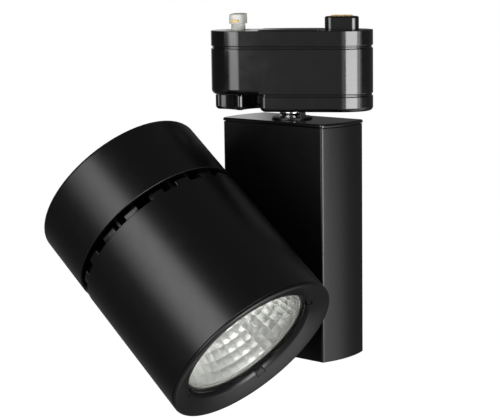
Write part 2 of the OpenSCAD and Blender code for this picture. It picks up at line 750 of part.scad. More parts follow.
module led_holder() color(nylon) head_frame() difference() {
  rotate_extrude() difference() {
    half_section(23, throat_at, sink_at - board_t, 1, 0);
    half_section(throat_r, throat_at - 1, sink_at);
  }
  translate([-9.6, -9.6, sink_at - board_t - 1.1]) cube([19.2, 19.2, 3]);
  for (side = [-1, 1]) translate([side * holder_screw_x, 0, 0]) {
    translate([0, 0, throat_at - 1]) cylinder(r = 2.8, h = 2.8);
    translate([0, 0, throat_at]) cylinder(r = 1.25 + run_fit, h = 10);
  }
}

module holder_screws() color(steel) head_frame() for (side = [-1, 1])
  translate([side * holder_screw_x, 0, throat_at + 1.8]) screw(1.25, 7, 2.4, 1.4, 1);

// Bowl of flat facets: each row is a belt of equal trapezoids.
function bowl_r(t) = throat_r + (mouth_r - throat_r) * pow(1 - t, 0.56);
module reflector() {
  rows = [for (i = [0:facet_rows]) i / facet_rows];
  inner = [for (t = rows) [bowl_r(t), flange_at + t * (throat_at - flange_at)]];
  outer = [for (t = rows) if (t > 0) [bowl_r(t) + 1.2, flange_at + t * (throat_at - flange_at)]];
  back = flange_at + flange_t;
  loop = concat(inner, [for (i = [len(outer) - 1:-1:0]) outer[i]],
                [[mouth_r + 1.4, back], [pocket_r - 0.2, back], [pocket_r - 0.2, flange_at]]);
  n = len(loop);
  points = [for (p = loop, j = [0:facet_cols - 1]) let (a = (j + 0.5) * 360 / facet_cols)
    [p[0] * cos(a), p[0] * sin(a), p[1]]];
  faces = [for (i = [0:n - 1], j = [0:facet_cols - 1])
    let (i2 = (i + 1) % n, j2 = (j + 1) % facet_cols)
    [i * facet_cols + j, i * facet_cols + j2, i2 * facet_cols + j2, i2 * facet_cols + j]];
  color(bare_alu) head_frame() polyhedron(points, faces);
}

module lens_gasket() color([0.2, 0.2, 0.2]) head_frame()
  tube(pocket_r - 0.1, mouth_r + 1.6, glass_at + glass_t, flange_at);

module lens_glass() color([0.85, 0.95, 0.95, 0.35]) head_frame() rotate_extrude()
  chamfer_section(pocket_r - 0.1, glass_at, glass_at + glass_t, 0.3);

// Half section of the front ring: rounded rim, dished face, bead, bore, glass seat.
module ring_section() {
  rim_c = head_r - rim_r;
  face_a = 20.5;        // slope of the dished face
  bead_r = 1.3;
  tan_r = rim_c - rim_r * sin(face_a);
  tan_s = rim_r - rim_r * cos(face_a);
  bead_top_r = bore_r + bead_r - bead_r * sin(face_a);
  bead_s = tan_s + (tan_r - bead_top_r) * tan(face_a) + bead_r * cos(face_a);
  polygon(concat(
    [[bore_r, glass_at], [pocket_r, glass_at], [pocket_r, ring_back],
     [inner_r - 1, ring_back], [inner_r - 0.1, ring_back - 0.9], [inner_r - 0.1, seam_at],
     [head_r - 0.2, seam_at]],
    arc_points(rim_c, rim_r, rim_r, 0, -90 - face_a, 10),
    arc_points(bore_r + bead_r, bead_s, bead_r, -90 - face_a, -180, 6)));
}

module front_ring() color(satin_black) head_frame() difference() {
  union() {
    rotate_extrude() ring_section();
    for (turn = lug_turns) rotate([0, 0, turn - 8]) rotate_extrude(angle = 16)
      translate([inner_r - 1, 9.3]) square([1.4, 1.4]);
  }
  for (i = [0:3]) rotate([0, 0, clip_turn + 90 * i])
    translate([bore_r - 2, -clip_w / 2 - clip_gap, 2.4])
      cube([5.2, clip_w + 2 * clip_gap, glass_at - 3.2]);
  for (turn = lug_turns) rotate([0, 0, turn]) translate([51, 0, ring_back - 6])
    cylinder(r = 1.25 + run_fit, h = 10);
}

module accessory_clips() color(gloss_black) head_frame()
  for (i = [0:3]) rotate([0, 0, clip_turn + 90 * i]) translate([bore_r, 0, 0])
    rotate([90, 0, 0]) translate([0, 0, -clip_w / 2]) linear_extrude(clip_w)
      polygon([[0.1, 5.2], [0.7, 4.6], [0.7, 4.1], [2.1, 3.6], [2.1, 4.4], [2.5, 4.4],
               [2.5, 3.4], [3.2, 3.1], [3.2, glass_at - 0.8], [0.1, glass_at - 0.8]]);

module lens_retainer() color(satin_black) head_frame() difference() {
  tube(54.4, mouth_r + 2.4, ring_back, ring_back + 2);
  for (turn = lug_turns) rotate([0, 0, turn]) translate([51, 0, ring_back - 1])
    cylinder(r = 1.25 + run_fit, h = 10);
}

module retainer_screws() color(steel) head_frame() for (turn = lug_turns)
  rotate([0, 0, turn]) translate([51, 0, ring_back + 2]) mirror([0, 0, 1])
    screw(1.25, 7, 2.3, 1.4, 1);

// ---------------------------------------------------------------- nodes

adapter_cap();
adapter_body();
adapter_cover();
cover_screws();
track_guide();
ground_contact();
terminal_block();
swivel_bush();
stop_pin();
lock_knob();
lock_shaft();
contact_rotor();
contact_blades();
swivel_stem();
stem_collar();
thrust_washer();
stem_nut();
stop_washer();
arm_lid();
arm_bridge();
bridge_screws();
stem_locknut();
arm_housing();
driver_board();
driver_transformer();
driver_capacitors();
driver_choke();
driver_terminals();
tilt_hub();
hub_screws();
friction_washer();
head_boss();
boss_screws();
tilt_bolt();
spring_washer();
tilt_nut();
barrel();
vent_ring();
rear_cap();
cap_screws();
heat_sink();
sink_screws();
led_board();
led_chip();
led_holder();
holder_screws();
reflector();
lens_gasket();
lens_glass();
front_ring();
accessory_clips();
lens_retainer();
retainer_screws();
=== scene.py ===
"""Looks of a black track spotlight.

Every visible shell is a surface worked out with numpy on a grid of two parameters: a profile
turned about an axis, or a section carried round a plan outline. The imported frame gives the
places and most sizes. Lengths are in millimetres until a mesh is made, which is in metres.
"""

import json
import logging
from collections.abc import Sequence
from dataclasses import dataclass, field
from enum import Enum
from math import acos, asin, atan2, ceil, cos, degrees, pi, radians, sin, sqrt, tan

import bmesh
import bpy
import numpy as np
from mathutils import Matrix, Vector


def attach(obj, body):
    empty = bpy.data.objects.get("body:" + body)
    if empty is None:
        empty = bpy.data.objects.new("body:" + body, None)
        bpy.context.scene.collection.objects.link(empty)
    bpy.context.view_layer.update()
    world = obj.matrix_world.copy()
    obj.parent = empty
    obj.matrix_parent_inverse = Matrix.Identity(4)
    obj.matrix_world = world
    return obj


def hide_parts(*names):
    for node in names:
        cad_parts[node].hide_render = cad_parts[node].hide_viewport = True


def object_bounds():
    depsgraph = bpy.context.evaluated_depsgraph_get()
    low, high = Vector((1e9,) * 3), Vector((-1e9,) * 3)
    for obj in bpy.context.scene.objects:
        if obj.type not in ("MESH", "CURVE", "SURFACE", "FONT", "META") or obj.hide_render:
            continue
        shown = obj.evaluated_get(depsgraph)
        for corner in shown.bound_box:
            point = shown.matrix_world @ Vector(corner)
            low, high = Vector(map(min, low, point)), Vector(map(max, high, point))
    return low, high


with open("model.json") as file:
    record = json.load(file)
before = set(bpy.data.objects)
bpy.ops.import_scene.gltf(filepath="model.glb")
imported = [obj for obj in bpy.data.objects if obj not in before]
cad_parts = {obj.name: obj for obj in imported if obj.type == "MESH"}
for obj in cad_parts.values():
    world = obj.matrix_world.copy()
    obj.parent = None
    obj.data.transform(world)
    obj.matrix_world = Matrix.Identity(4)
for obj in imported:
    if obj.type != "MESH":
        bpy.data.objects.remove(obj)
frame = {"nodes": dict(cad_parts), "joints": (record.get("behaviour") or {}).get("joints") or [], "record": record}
CAD_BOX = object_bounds()

Array = np.ndarray
Arc = tuple[float, float, float, float, float]
Corner = tuple[float, float, float]
Triple = tuple[float, float, float]
Socket = bpy.types.NodeSocket
MM = 0.001
NEAR = 0.01  # how far off a level a point may lie and still count as on it
SCREW_R, SINK_DEPTH, HOLE_DEPTH = 1.5, 1.6, 2.0  # countersunk screw holes
UP = np.array([0.0, 0.0, 1.0])
WHITE = (1, 1, 1, 1)
log = logging.getLogger("spotlight")


# ------------------------------------------------------------------ places


def node_points(node: str) -> Array:
    """Vertices of a CAD node.

    Args:
        node: name of the CAD node.

    Returns:
        (n, 3) array in millimetres, in the row frame.
    """
    mesh = frame["nodes"][node].data
    flat = np.zeros(len(mesh.vertices) * 3)
    mesh.vertices.foreach_get("co", flat)
    return flat.reshape(-1, 3) / MM


@dataclass(frozen=True)
class Axes:
    """A right-handed local frame: its origin in millimetres, and its axes as a matrix's columns."""

    origin: Array
    turn: Array

    def place(self, points: Array) -> Array:
        """Local points in the row frame."""
        return points @ self.turn.T + self.origin

    def local(self, points: Array) -> Array:
        """Row-frame points in this frame."""
        return (points - self.origin) @ self.turn

    def span(self, node: str, axis: int) -> tuple[float, float]:
        """Lowest and highest coordinate of a CAD node along one local axis."""
        along = self.local(node_points(node))[:, axis]
        return float(along.min()), float(along.max())

    def reach(self, node: str) -> float:
        """Largest distance of a CAD node from the local z axis."""
        flat = self.local(node_points(node))[:, :2]
        return float(np.hypot(flat[:, 0], flat[:, 1]).max())


def joint(name: str) -> dict:
    """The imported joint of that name."""
    return next(j for j in frame["joints"] if j["name"] == name)


def accessory_bore() -> dict:
    """The mount of that name in the record."""
    return next(m for m in frame["record"]["mounts"] if m["name"] == "accessory_bore")


def row_axes() -> Axes:
    """The row frame itself."""
    return Axes(np.zeros(3), np.eye(3))


def lock_axes() -> Axes:
    """The row frame moved along x onto the lock's axis."""
    return Axes(np.array([joint("lock_turn")["pos_m"][0] / MM, 0.0, 0.0]), np.eye(3))


def arm_axes() -> Axes:
    """The driver box's frame: x along the box, y away from the head, z up.

    Returns:
        Axes with their origin on the swivel axis under the track.
    """
    back = -np.array(joint("head_tilt")["axis"], float)
    return Axes(np.zeros(3), np.column_stack([np.cross(back, UP), back, UP]))


def tilt_axes() -> Axes:
    """The tilt joint's frame: z runs from the swivel axis towards the head.

    Returns:
        Axes with their origin on the swivel axis, at the height of the tilt axis.
    """
    side = np.array(joint("head_tilt")["axis"], float)
    height = joint("head_tilt")["pos_m"][2] / MM
    return Axes(height * UP, np.column_stack([np.cross(side, -UP), UP, side]))


def head_axes() -> Axes:
    """The lamp head's frame: z is the distance behind the front rim, y points to the box.

    Returns:
        Axes with their origin at the centre of the front rim.
    """
    rear = -np.array(accessory_bore()["axis"], float)
    toward_box = -np.array(joint("head_tilt")["axis"], float)
    turn = np.column_stack([np.cross(toward_box, rear), toward_box, rear])
    pivot = np.array(joint("head_tilt")["pos_m"], float) / MM
    front = float(((node_points("front_ring") - pivot) @ rear).min())
    return Axes(pivot + rear * front, turn)


# ------------------------------------------------------------------ curves and surfaces


def bend(centre: tuple[float, float], radius: float, start: float, end: float,
         steps: int) -> Array:
    """Points on a circular arc: centre plus radius times (cos, sin) of evenly spaced angles.

    Args:
        centre: centre of the arc.
        radius: its radius.
        start: first angle, in degrees.
        end: last angle, in degrees.
        steps: number of equal steps.

    Returns:
        (steps + 1, 2) array.
    """
    turn = np.radians(np.linspace(start, end, steps + 1))
    return np.column_stack([centre[0] + radius * np.cos(turn), centre[1] + radius * np.sin(turn)])


def profile(corners: Sequence[Corner], closed: bool = False, steps: int = 5,
            hold: float = 0.25) -> Array:
    """A polyline whose corners are rounded, with extra points that keep its straights flat.

    A corner of radius r becomes an arc that touches both straights at r / tan(half angle) from
    the corner. Each straight longer than four holds gets a point one hold from either end.

    Args:
        corners: (u, z, radius) of each corner.
        closed: whether the last corner joins the first.
        steps: steps of each arc.
        hold: distance of the extra points from the ends of a straight.

    Returns:
        (n, 2) array of points.
    """
    at = np.array([c[:2] for c in corners], float)
    count = len(corners)
    parts: list[Array] = []
    for i, (_, _, radius) in enumerate(corners):
        inner = closed or 0 < i < count - 1
        if radius <= 0 or not inner:
            parts.append(at[i:i + 1])
            continue
        back = at[i - 1] - at[i]
        ahead = at[(i + 1) % count] - at[i]
        back, ahead = back / np.hypot(*back), ahead / np.hypot(*ahead)
        half = acos(float(np.clip(back @ ahead, -1, 1))) / 2
        middle = (back + ahead) / np.hypot(*(back + ahead))
        centre = at[i] + middle * radius / sin(half)
        first = at[i] + back * radius / tan(half) - centre
        last = at[i] + ahead * radius / tan(half) - centre
        begin = atan2(first[1], first[0])
        sweep = (atan2(last[1], last[0]) - begin + pi) % (2 * pi) - pi
        parts.append(bend(tuple(centre), radius, degrees(begin), degrees(begin + sweep), steps))
    held: list[Array] = []
    for i, part in enumerate(parts):
        held.append(part)
        if i == count - 1 and not closed:
            break
        run = parts[(i + 1) % count][0] - part[-1]
        length = float(np.hypot(*run))
        if length > 4 * hold:
            held.append(part[-1] + np.array([[hold / length], [1 - hold / length]]) * run)
    return np.vstack(held)


@dataclass
class Patch:
    """A mesh in the making: vertices in millimetres, and faces as rows of vertex numbers."""

    points: Array
    quads: Array
    caps: list[list[int]] = field(default_factory=list)

    def __add__(self, other: "Patch") -> "Patch":
        """Joins two meshes.

        Args:
            other: the mesh whose vertices come after this one's.

        Returns:
            Both as one.
        """
        shift = len(self.points)
        return Patch(np.vstack([self.points, other.points]),
                     np.vstack([self.quads, other.quads + shift]),
                     self.caps + [[v + shift for v in cap] for cap in other.caps])

    def moved(self, axes: Axes) -> "Patch":
        """The same mesh placed from a local frame into the row frame."""
        return Patch(axes.place(self.points), self.quads, self.caps)


def surface(grid: Array, wrap_rows: bool = False, wrap_cols: bool = True,
            cap_first: bool = False, cap_last: bool = False) -> Patch:
    """A grid of points as a mesh: each cell (i, j) joins rows i, i+1 and columns j, j+1.

    Args:
        grid: (rows, columns, 3) array.
        wrap_rows: whether the last row joins the first.
        wrap_cols: whether the last column joins the first.
        cap_first: whether the first row is filled with one flat face.
        cap_last: whether the last row is filled with one flat face.

    Returns:
        The mesh.
    """
    rows, cols = grid.shape[:2]
    index = np.arange(rows * cols).reshape(rows, cols)
    i = np.arange(rows if wrap_rows else rows - 1)[:, None]
    j = np.arange(cols if wrap_cols else cols - 1)[None, :]
    down, right = (i + 1) % rows, (j + 1) % cols
    quads = np.stack([index[i, j], index[down, j], index[down, right], index[i, right]], -1)
    caps = [index[0].tolist()] * cap_first + [index[-1].tolist()] * cap_last
    return Patch(grid.reshape(-1, 3), quads.reshape(-1, 4), caps)


def revolve(line: Array, steps: int = 192, closed: bool = True) -> Patch:
    """A profile turned about z: (r, z) goes to (r cos a, r sin a, z) for evenly spaced a.

    Args:
        line: (n, 2) array of radius and height.
        steps: number of steps round the axis.
        closed: whether the profile is a loop. An open one starts and ends on the axis.

    Returns:
        The mesh.
    """
    turn = np.linspace(0, 2 * pi, steps, endpoint=False)
    grid = np.empty((len(line), steps, 3))
    grid[..., 0] = line[:, :1] * np.cos(turn)
    grid[..., 1] = line[:, :1] * np.sin(turn)
    grid[..., 2] = line[:, 1:]
    return surface(grid, wrap_rows=closed)


@dataclass(frozen=True)
class Plan:
    """A closed outline, as points with outward unit normals, and so also all its inner offsets."""

    points: Array
    normals: Array

    def ring(self, inset: Array) -> Array:
        """The outline set in: each point moved back along its normal.

        Args:
            inset: (n, 1) or (n, columns) array of distances.

        Returns:
            (n, columns, 2) array.
        """
        return self.points[None] - inset[..., None] * self.normals[None]


SHORTEST_RUN = 0.05  # arcs that lie closer than this share their points
HOLD = 0.4  # distance of a straight's first and last point from its ends


def run_of(arcs: Sequence[Arc], steps: int = 16, extra: Array | None = None) -> Plan:
    """An outline of arcs joined by straights, counter-clockwise.

    A convex arc has a positive radius and its normals point away from its centre. A hollow one
    has a negative radius, runs backwards and its normals point to its centre.

    Args:
        arcs: centre x, centre y, radius, start and end angle of each arc, in order.
        steps: steps of a quarter turn.
        extra: x coordinates at which each straight along x gets a point.

    Returns:
        The outline, with a point close to both ends of every straight.
    """
    points: list[Array] = []
    normals: list[Array] = []
    count = len(arcs)
    for n, (x, y, radius, start, end) in enumerate(arcs):
        parts = max(2, ceil(abs(end - start) / 90 * steps))
        arc = bend((x, y), abs(radius), start, end, parts)
        points.append(arc)
        normals.append((arc - (x, y)) / radius)
        after = arcs[(n + 1) % count]
        target = bend((after[0], after[1]), abs(after[2]), after[3], after[3], 1)[0]
        run = target - arc[-1]
        length = float(np.hypot(*run))
        if length < SHORTEST_RUN:
            continue
        near = min(HOLD, 0.2 * length) / length
        share = [near, 1 - near]
        if extra is not None and abs(run[1]) < 1e-6:
            share += list((extra - arc[-1, 0]) / run[0])
        share = np.array(sorted(s for s in share if near <= s <= 1 - near))
        points.append(arc[-1] + share[:, None] * run)
        normals.append(np.tile(np.array([run[1], -run[0]]) / length, (len(share), 1)))
    return Plan(np.vstack(points), np.vstack(normals))


def round_end(length: float, width: float, ease: float = 0.0, turn: float = 55.0) -> list[Arc]:
    """The arcs of an outline's end at +x: a half circle, or an arc between two easing ones.

    Args:
        length: overall length of the outline.
        width: its width.
        ease: radius of the easing arcs, or 0 for a half circle.
        turn: half angle of the arc between them, in degrees.

    Returns:
        Arcs for run_of, counter-clockwise.
    """
    half = width / 2
    if not ease:
        return [(length / 2 - half, 0, half, -90, 90)]
    c, s = cos(radians(turn)), sin(radians(turn))
    r = (half - ease * (1 - s)) / s
    x, y = length / 2 - r - (ease - r) * c, (ease - r) * s
    return [(x, y, ease, -90, -turn), (length / 2 - r, 0, r, -turn, turn), (x, -y, ease, turn, 90)]


def stadium(length: float, width: float, middle: float = 0.0, steps: int = 32,
            extra: Array | None = None, ease: float = 0.0) -> Plan:
    """Two straight sides along x joined by round ends.

    Args:
        length: overall length.
        width: overall width.
        middle: x of its middle.
        steps: steps of a quarter turn.
        extra: x coordinates at which the straight sides get a point.
        ease: radius of the arcs that ease its ends into the sides, or 0.

    Returns:
        The outline.
    """
    end = round_end(length, width, ease)
    right = [(middle + x, y, r, a, b) for x, y, r, a, b in end]
    left = [(middle - x, -y, r, a + 180, b + 180) for x, y, r, a, b in end]
    return run_of(right + left, steps, extra)


def round_rect(x0: float, x1: float, y0: float, y1: float, r: float, steps: int = 5) -> Plan:
    """A rectangle with round corners."""
    return run_of([(x1 - r, y0 + r, r, -90, 0), (x1 - r, y1 - r, r, 0, 90),
                   (x0 + r, y1 - r, r, 90, 180), (x0 + r, y0 + r, r, 180, 270)], steps)


def carried(plan: Plan, section: Array, cap_first: bool = True, cap_last: bool = True,
            lean: tuple[Array, Array] | None = None) -> Patch:
    """A section carried round a plan: point (inset, z) lies on the plan set in by inset, at z.

    Args:
        plan: the outline, seen from above.
        section: (n, 2) array of inset and z.
        cap_first: whether the first row is closed with a flat face.
        cap_last: whether the last row is closed with a flat face.
        lean: a second section with as many points, and a weight for each plan point, from 0
            for the first section to 1 for the second.

    Returns:
        The mesh.
    """
    inset = np.repeat(section[:, :1], len(plan.points), 1)
    level = np.repeat(section[:, 1:], len(plan.points), 1)
    if lean is not None:
        other, weight = lean
        inset = inset + (other[:, :1] - inset) * weight
        level = level + (other[:, 1:] - level) * weight
    return surface(np.dstack([plan.ring(inset), level]), cap_first=cap_first, cap_last=cap_last)


def block(lo: Triple, hi: Triple, edge: float = 0.2, corner: float = 0.3) -> Patch:
    """A box with rounded edges: a round rectangle with a section that rounds top and bottom.

    Args:
        lo: lowest corner.
        hi: highest corner.
        edge: radius of the top and bottom edges.
        corner: radius of the upright edges.

    Returns:
        The mesh.
    """
    plan = round_rect(lo[0], hi[0], lo[1], hi[1], corner, 3)
    inset = min(corner, 1.5 * edge)
    section = profile([(inset, lo[2], 0), (0, lo[2], edge), (0, hi[2], edge), (inset, hi[2], 0)],
                      steps=3)
    return carried(plan, section)


def prism(outline: Array, width: float) -> Patch:
    """A flat outline carried along y.

    Args:
        outline: (n, 2) array of x and z.
        width: distance that it is carried, centred on zero.

    Returns:
        The mesh.
    """
    y = np.array([-width / 2, width / 2])[:, None]
    grid = np.empty((2, len(outline), 3))
    grid[..., 0], grid[..., 1], grid[..., 2] = outline[:, 0], y, outline[:, 1]
    return surface(grid, cap_first=True, cap_last=True)


def turned(patch: Patch, angle: float) -> Patch:
    """A mesh turned about z.

    Args:
        patch: the mesh.
        angle: counter-clockwise angle in degrees.

    Returns:
        The turned mesh.
    """
    c, s = cos(radians(angle)), sin(radians(angle))
    matrix = np.array([[c, s, 0], [-s, c, 0], [0, 0, 1]])
    return Patch(patch.points @ matrix, patch.quads, patch.caps)


def shifted(patch: Patch, x: float = 0.0, y: float = 0.0, z: float = 0.0) -> Patch:
    """A mesh moved by a distance along each axis."""
    return Patch(patch.points + np.array([x, y, z]), patch.quads, patch.caps)


def together(patches: list[Patch]) -> Patch:
    """Several meshes as one.

    Args:
        patches: the meshes, of which there is at least one.

    Returns:
        The joined mesh.
    """
    whole = patches[0]
    for patch in patches[1:]:
        whole = whole + patch
    return whole


def plug(radius: float, low: float, high: float, steps: int) -> Patch:
    """A plain cylinder about z, as a cutter."""
    line = np.array([[0, low], [radius, low], [radius, high], [0, high]])
    return revolve(line, steps, False)


def screw_holes(node: str, axes: Axes, level: float, inward: float, head: float) -> list[Patch]:
    """Cutters for countersunk screws whose heads lie flush in a face across z.

    Args:
        node: CAD node of the screws.
        axes: local frame.
        level: z of the face.
        inward: 1 if the screws run towards +z, or -1.
        head: radius of a hole at the face.

    Returns:
        One cutter for each screw, in the local frame.
    """
    points = axes.local(node_points(node))
    points = points[inward * (points[:, 2] - level) < NEAR]
    top, sunk, end = level - inward, level + inward * SINK_DEPTH, level + inward * HOLE_DEPTH
    line = np.array([[0, top], [head, top], [head, level], [SCREW_R, sunk], [SCREW_R, end],
                     [0, end]])
    return [shifted(revolve(line, 48, False), x, y) for x, y in clusters(points[:, :2])]


def clusters(points: Array, apart: float = 12.0) -> list[tuple[float, float]]:
    """Centres of the groups that points form.

    Args:
        points: (n, 2) array.
        apart: distance from which points belong to another group.

    Returns:
        The middle of each group's box.
    """
    found: list[tuple[float, float]] = []
    while len(points):
        near = np.hypot(*(points - points[0]).T) < apart
        centre = (points[near].min(0) + points[near].max(0)) / 2
        found.append((float(centre[0]), float(centre[1])))
        points = points[~near]
    return found


def in_scene(name: str, data: bpy.types.ID) -> bpy.types.Object:
    """Makes an object and links it to the scene.

    Args:
        name: its name.
        data: its mesh, camera or light.

    Returns:
        The object.
    """
    obj = bpy.data.objects.new(name, data)
    bpy.context.scene.collection.objects.link(obj)
    return obj


def make_mesh(name: str, patch: Patch, sharp: float) -> bpy.types.Mesh:
    """Makes the Blender mesh in metres, with doubles merged and faces pointing outwards.

    Args:
        name: name of the mesh.
        patch: its points and faces, in the row frame.
        sharp: edges between faces that meet at a larger angle, in degrees, are shaded sharp.

    Returns:
        The mesh.
    """
    mesh = bpy.data.meshes.new(name)
    mesh.from_pydata((patch.points * MM).tolist(), [], patch.quads.tolist() + patch.caps)
    work = bmesh.new()
    work.from_mesh(mesh)
    bmesh.ops.remove_doubles(work, verts=work.verts, dist=1e-6)
    bmesh.ops.dissolve_degenerate(work, edges=work.edges, dist=1e-7)
    bmesh.ops.recalc_face_normals(work, faces=work.faces)
    work.to_mesh(mesh)
    work.free()
    shade(mesh, sharp)
    return mesh


def shade(mesh: bpy.types.Mesh, sharp: float) -> None:
    """Shades a mesh smooth, but for its sharp edges.

    Args:
        mesh: the mesh.
        sharp: angle in degrees above which an edge is sharp.
    """
    mesh.polygons.foreach_set("use_smooth", np.ones(len(mesh.polygons), bool))
    mesh.set_sharp_from_angle(angle=radians(sharp))
    mesh.update()


def cut(piece: bpy.types.Object, cutter: Patch, sharp: float = 30) -> None:
    """Takes a closed shape out of a piece and keeps the result as its mesh.

    Args:
        piece: the piece, still at the origin.
        cutter: the closed shapes to take out, in the row frame.
        sharp: angle in degrees above which edges are shaded sharp.
    """
    tool = in_scene("cutter", make_mesh("cutter", cutter, 30))
    step = piece.modifiers.new("cut", "BOOLEAN")
    step.operation = "DIFFERENCE"
    step.solver = "EXACT"
    step.object = tool
    evaluated = piece.evaluated_get(bpy.context.evaluated_depsgraph_get())
    mesh = bpy.data.meshes.new_from_object(evaluated)
    piece.modifiers.clear()
    old, piece.data = piece.data, mesh
    bpy.data.meshes.remove(old)
    bpy.data.objects.remove(tool)
    shade(mesh, sharp)


# ------------------------------------------------------------------ finishes


NOISE_RANGE = (0.3, 0.7)  # where most values of the noise lie
SMOOTH = "SMOOTHSTEP"


class Tree:
    """The nodes of a material or world, with short calls for those used here."""

    def __init__(self, owner: bpy.types.Material | bpy.types.World) -> None:
        """Gives the owner nodes."""
        owner.use_nodes = True
        self.nodes, self.links = owner.node_tree.nodes, owner.node_tree.links

    @staticmethod
    def fill(node: bpy.types.Node, **values: float | tuple[float, ...]) -> bpy.types.Node:
        """Sets inputs of a node.

        Args:
            node: the node.
            values: number or colour of each input, named with _ for spaces.

        Returns:
            The same node.
        """
        for name, value in values.items():
            node.inputs[name.replace("_", " ")].default_value = value
        return node

    def new(self, kind: str, **values: float | tuple[float, ...]) -> bpy.types.Node:
        """Makes a node and sets its inputs."""
        return self.fill(self.nodes.new("ShaderNode" + kind), **values)

    def math(self, operation: str, *values: Socket | float) -> Socket:
        """The result of a Math node.

        Args:
            operation: what the node does.
            values: an output to join to each of its inputs, or the number to put there.

        Returns:
            Its output.
        """
        node = self.new("Math")
        node.operation = operation
        for socket, value in zip(node.inputs, values):
            if isinstance(value, Socket):
                self.links.new(value, socket)
            else:
                socket.default_value = value
        return node.outputs[0]

    def between(self, value: Socket, start: float, end: float, low: float, high: float,
                kind: str = "LINEAR") -> Socket:
        """A value mapped from one range to another, and level outside it.

        Args:
            value: the input.
            start: input at which the result is low.
            end: input at which the result is high.
            low: result at start.
            high: result at end.
            kind: how it runs between them.

        Returns:
            The mapped value.
        """
        node = self.new("MapRange", From_Min=start, From_Max=end, To_Min=low, To_Max=high)
        node.interpolation_type = kind
        self.links.new(value, node.inputs["Value"])
        return node.outputs["Result"]

    def seen(self) -> Socket:
        """1 for the camera's own rays, straight or through glass, and 0 for all others."""
        path = self.new("LightPath").outputs
        return self.math("MAXIMUM", path["Is Camera Ray"], path["Is Transmission Ray"])


class Board(Tree):
    """The nodes of a new material with one Principled shader."""

    def __init__(self, name: str) -> None:
        """Makes the material.

        Args:
            name: its name.
        """
        self.material = bpy.data.materials.new(name)
        super().__init__(self.material)
        self.shader = self.nodes["Principled BSDF"]
        self.place = self.new("TexCoord").outputs["Object"]

    def link(self, out: Socket, socket: str) -> None:
        """Joins an output to a socket of the shader."""
        self.links.new(out, self.shader.inputs[socket])

    def noise(self, scale: float, detail: float = 2.0, rough: float = 0.5,
              stretch: Triple = (1, 1, 1)) -> Socket:
        """Noise in object coordinates, stretched along the axes.

        Args:
            scale: cells to the metre.
            detail: octaves.
            rough: share kept by each octave.
            stretch: scale along each axis.

        Returns:
            Its value, about 0.5 on average.
        """
        mapping = self.new("Mapping", Scale=stretch)
        node = self.new("TexNoise", Scale=scale, Detail=detail, Roughness=rough)
        self.links.new(self.place, mapping.inputs["Vector"])
        self.links.new(mapping.outputs["Vector"], node.inputs["Vector"])
        return node.outputs["Fac"]

    def blend(self, fac: Socket, first: Triple, second: Triple) -> Socket:
        """A colour between two colours.

        Args:
            fac: 0 for the first colour, 1 for the second.
            first: first colour, without alpha.
            second: second colour, without alpha.

        Returns:
            The mixed colour.
        """
        node = self.new("Mix")
        node.data_type = "RGBA"
        self.fill(node, A=(*first, 1), B=(*second, 1))
        self.links.new(fac, node.inputs["Factor"])
        return node.outputs["Result"]

    def bump(self, height: Socket, depth: float, after: Socket | None = None) -> Socket:
        """A normal bent by a height, after another one if given.

        Args:
            height: height from 0 to 1.
            depth: depth of the relief in metres.
            after: normal that this one is added to.

        Returns:
            The bent normal.
        """
        node = self.new("Bump", Distance=depth, Strength=1.0)
        self.links.new(height, node.inputs["Height"])
        if after is not None:
            self.links.new(after, node.inputs["Normal"])
        return node.outputs["Normal"]


@dataclass(frozen=True)
class Finish:
    """A surface with slightly uneven colour and gloss, fine grain and slow waviness."""

    name: str
    colour: Triple
    rough: float
    metal: float = 0.0
    ior: float = 1.5
    grain_scale: float = 0.0
    grain_depth: float = 0.0
    wave_scale: float = 0.0
    wave_depth: float = 0.0
    uneven: float = 0.08
    mottle: float = 0.12
    mottle_scale: float = 90.0
    stretch: Triple = (1, 1, 1)
    coat: float = 0.0
    coat_rough: float = 0.1
    spin: float = 0.0

    @property
    def label(self) -> str:
        """Name of the material, apart from the plain one that the frame brings."""
        return self.name + "_finish"

    def make(self) -> bpy.types.Material:
        """Builds the node material.

        Returns:
            The material.
        """
        board = Board(self.label)
        board.fill(board.shader, Metallic=self.metal, IOR=self.ior, Coat_Weight=self.coat,
                   Coat_Roughness=self.coat_rough, Anisotropic=self.spin)
        mottle = board.between(board.noise(self.mottle_scale, 3), *NOISE_RANGE, 0, 1)
        low = tuple(c * (1 - self.mottle) for c in self.colour)
        high = tuple(min(1.0, c * (1 + self.mottle)) for c in self.colour)
        board.link(board.blend(mottle, low, high), "Base Color")
        smear = board.noise(self.mottle_scale * 1.7, 4, 0.6, self.stretch)
        smooth, dull = self.rough * (1 - self.uneven), self.rough * (1 + self.uneven)
        board.link(board.between(smear, *NOISE_RANGE, smooth, dull), "Roughness")
        normal = None
        if self.wave_depth > 0:
            normal = board.bump(board.noise(self.wave_scale, 1), self.wave_depth)
        if self.grain_depth > 0:
            grain = board.noise(self.grain_scale, 2, 0.5, self.stretch)
            normal = board.bump(grain, self.grain_depth, normal)
        if normal is not None:
            board.link(normal, "Normal")
        self.add(board)
        return board.material

    def add(self, board: Board) -> None:
        """Place for what a special finish adds; a plain one adds nothing."""


@dataclass(frozen=True)
class ClearGlass(Finish):
    """Clear glass, faintly green and a little greasy."""

    def add(self, board: Board) -> None:
        """Makes the surface let light through."""
        board.fill(board.shader, Transmission_Weight=1.0)


@dataclass(frozen=True)
class Phosphor(Finish):
    """Yellow phosphor under clear silicone, unlit."""

    def add(self, board: Board) -> None:
        """Adds the soft depth of the silicone."""
        board.fill(board.shader, Subsurface_Weight=0.3, Subsurface_Scale=0.001)


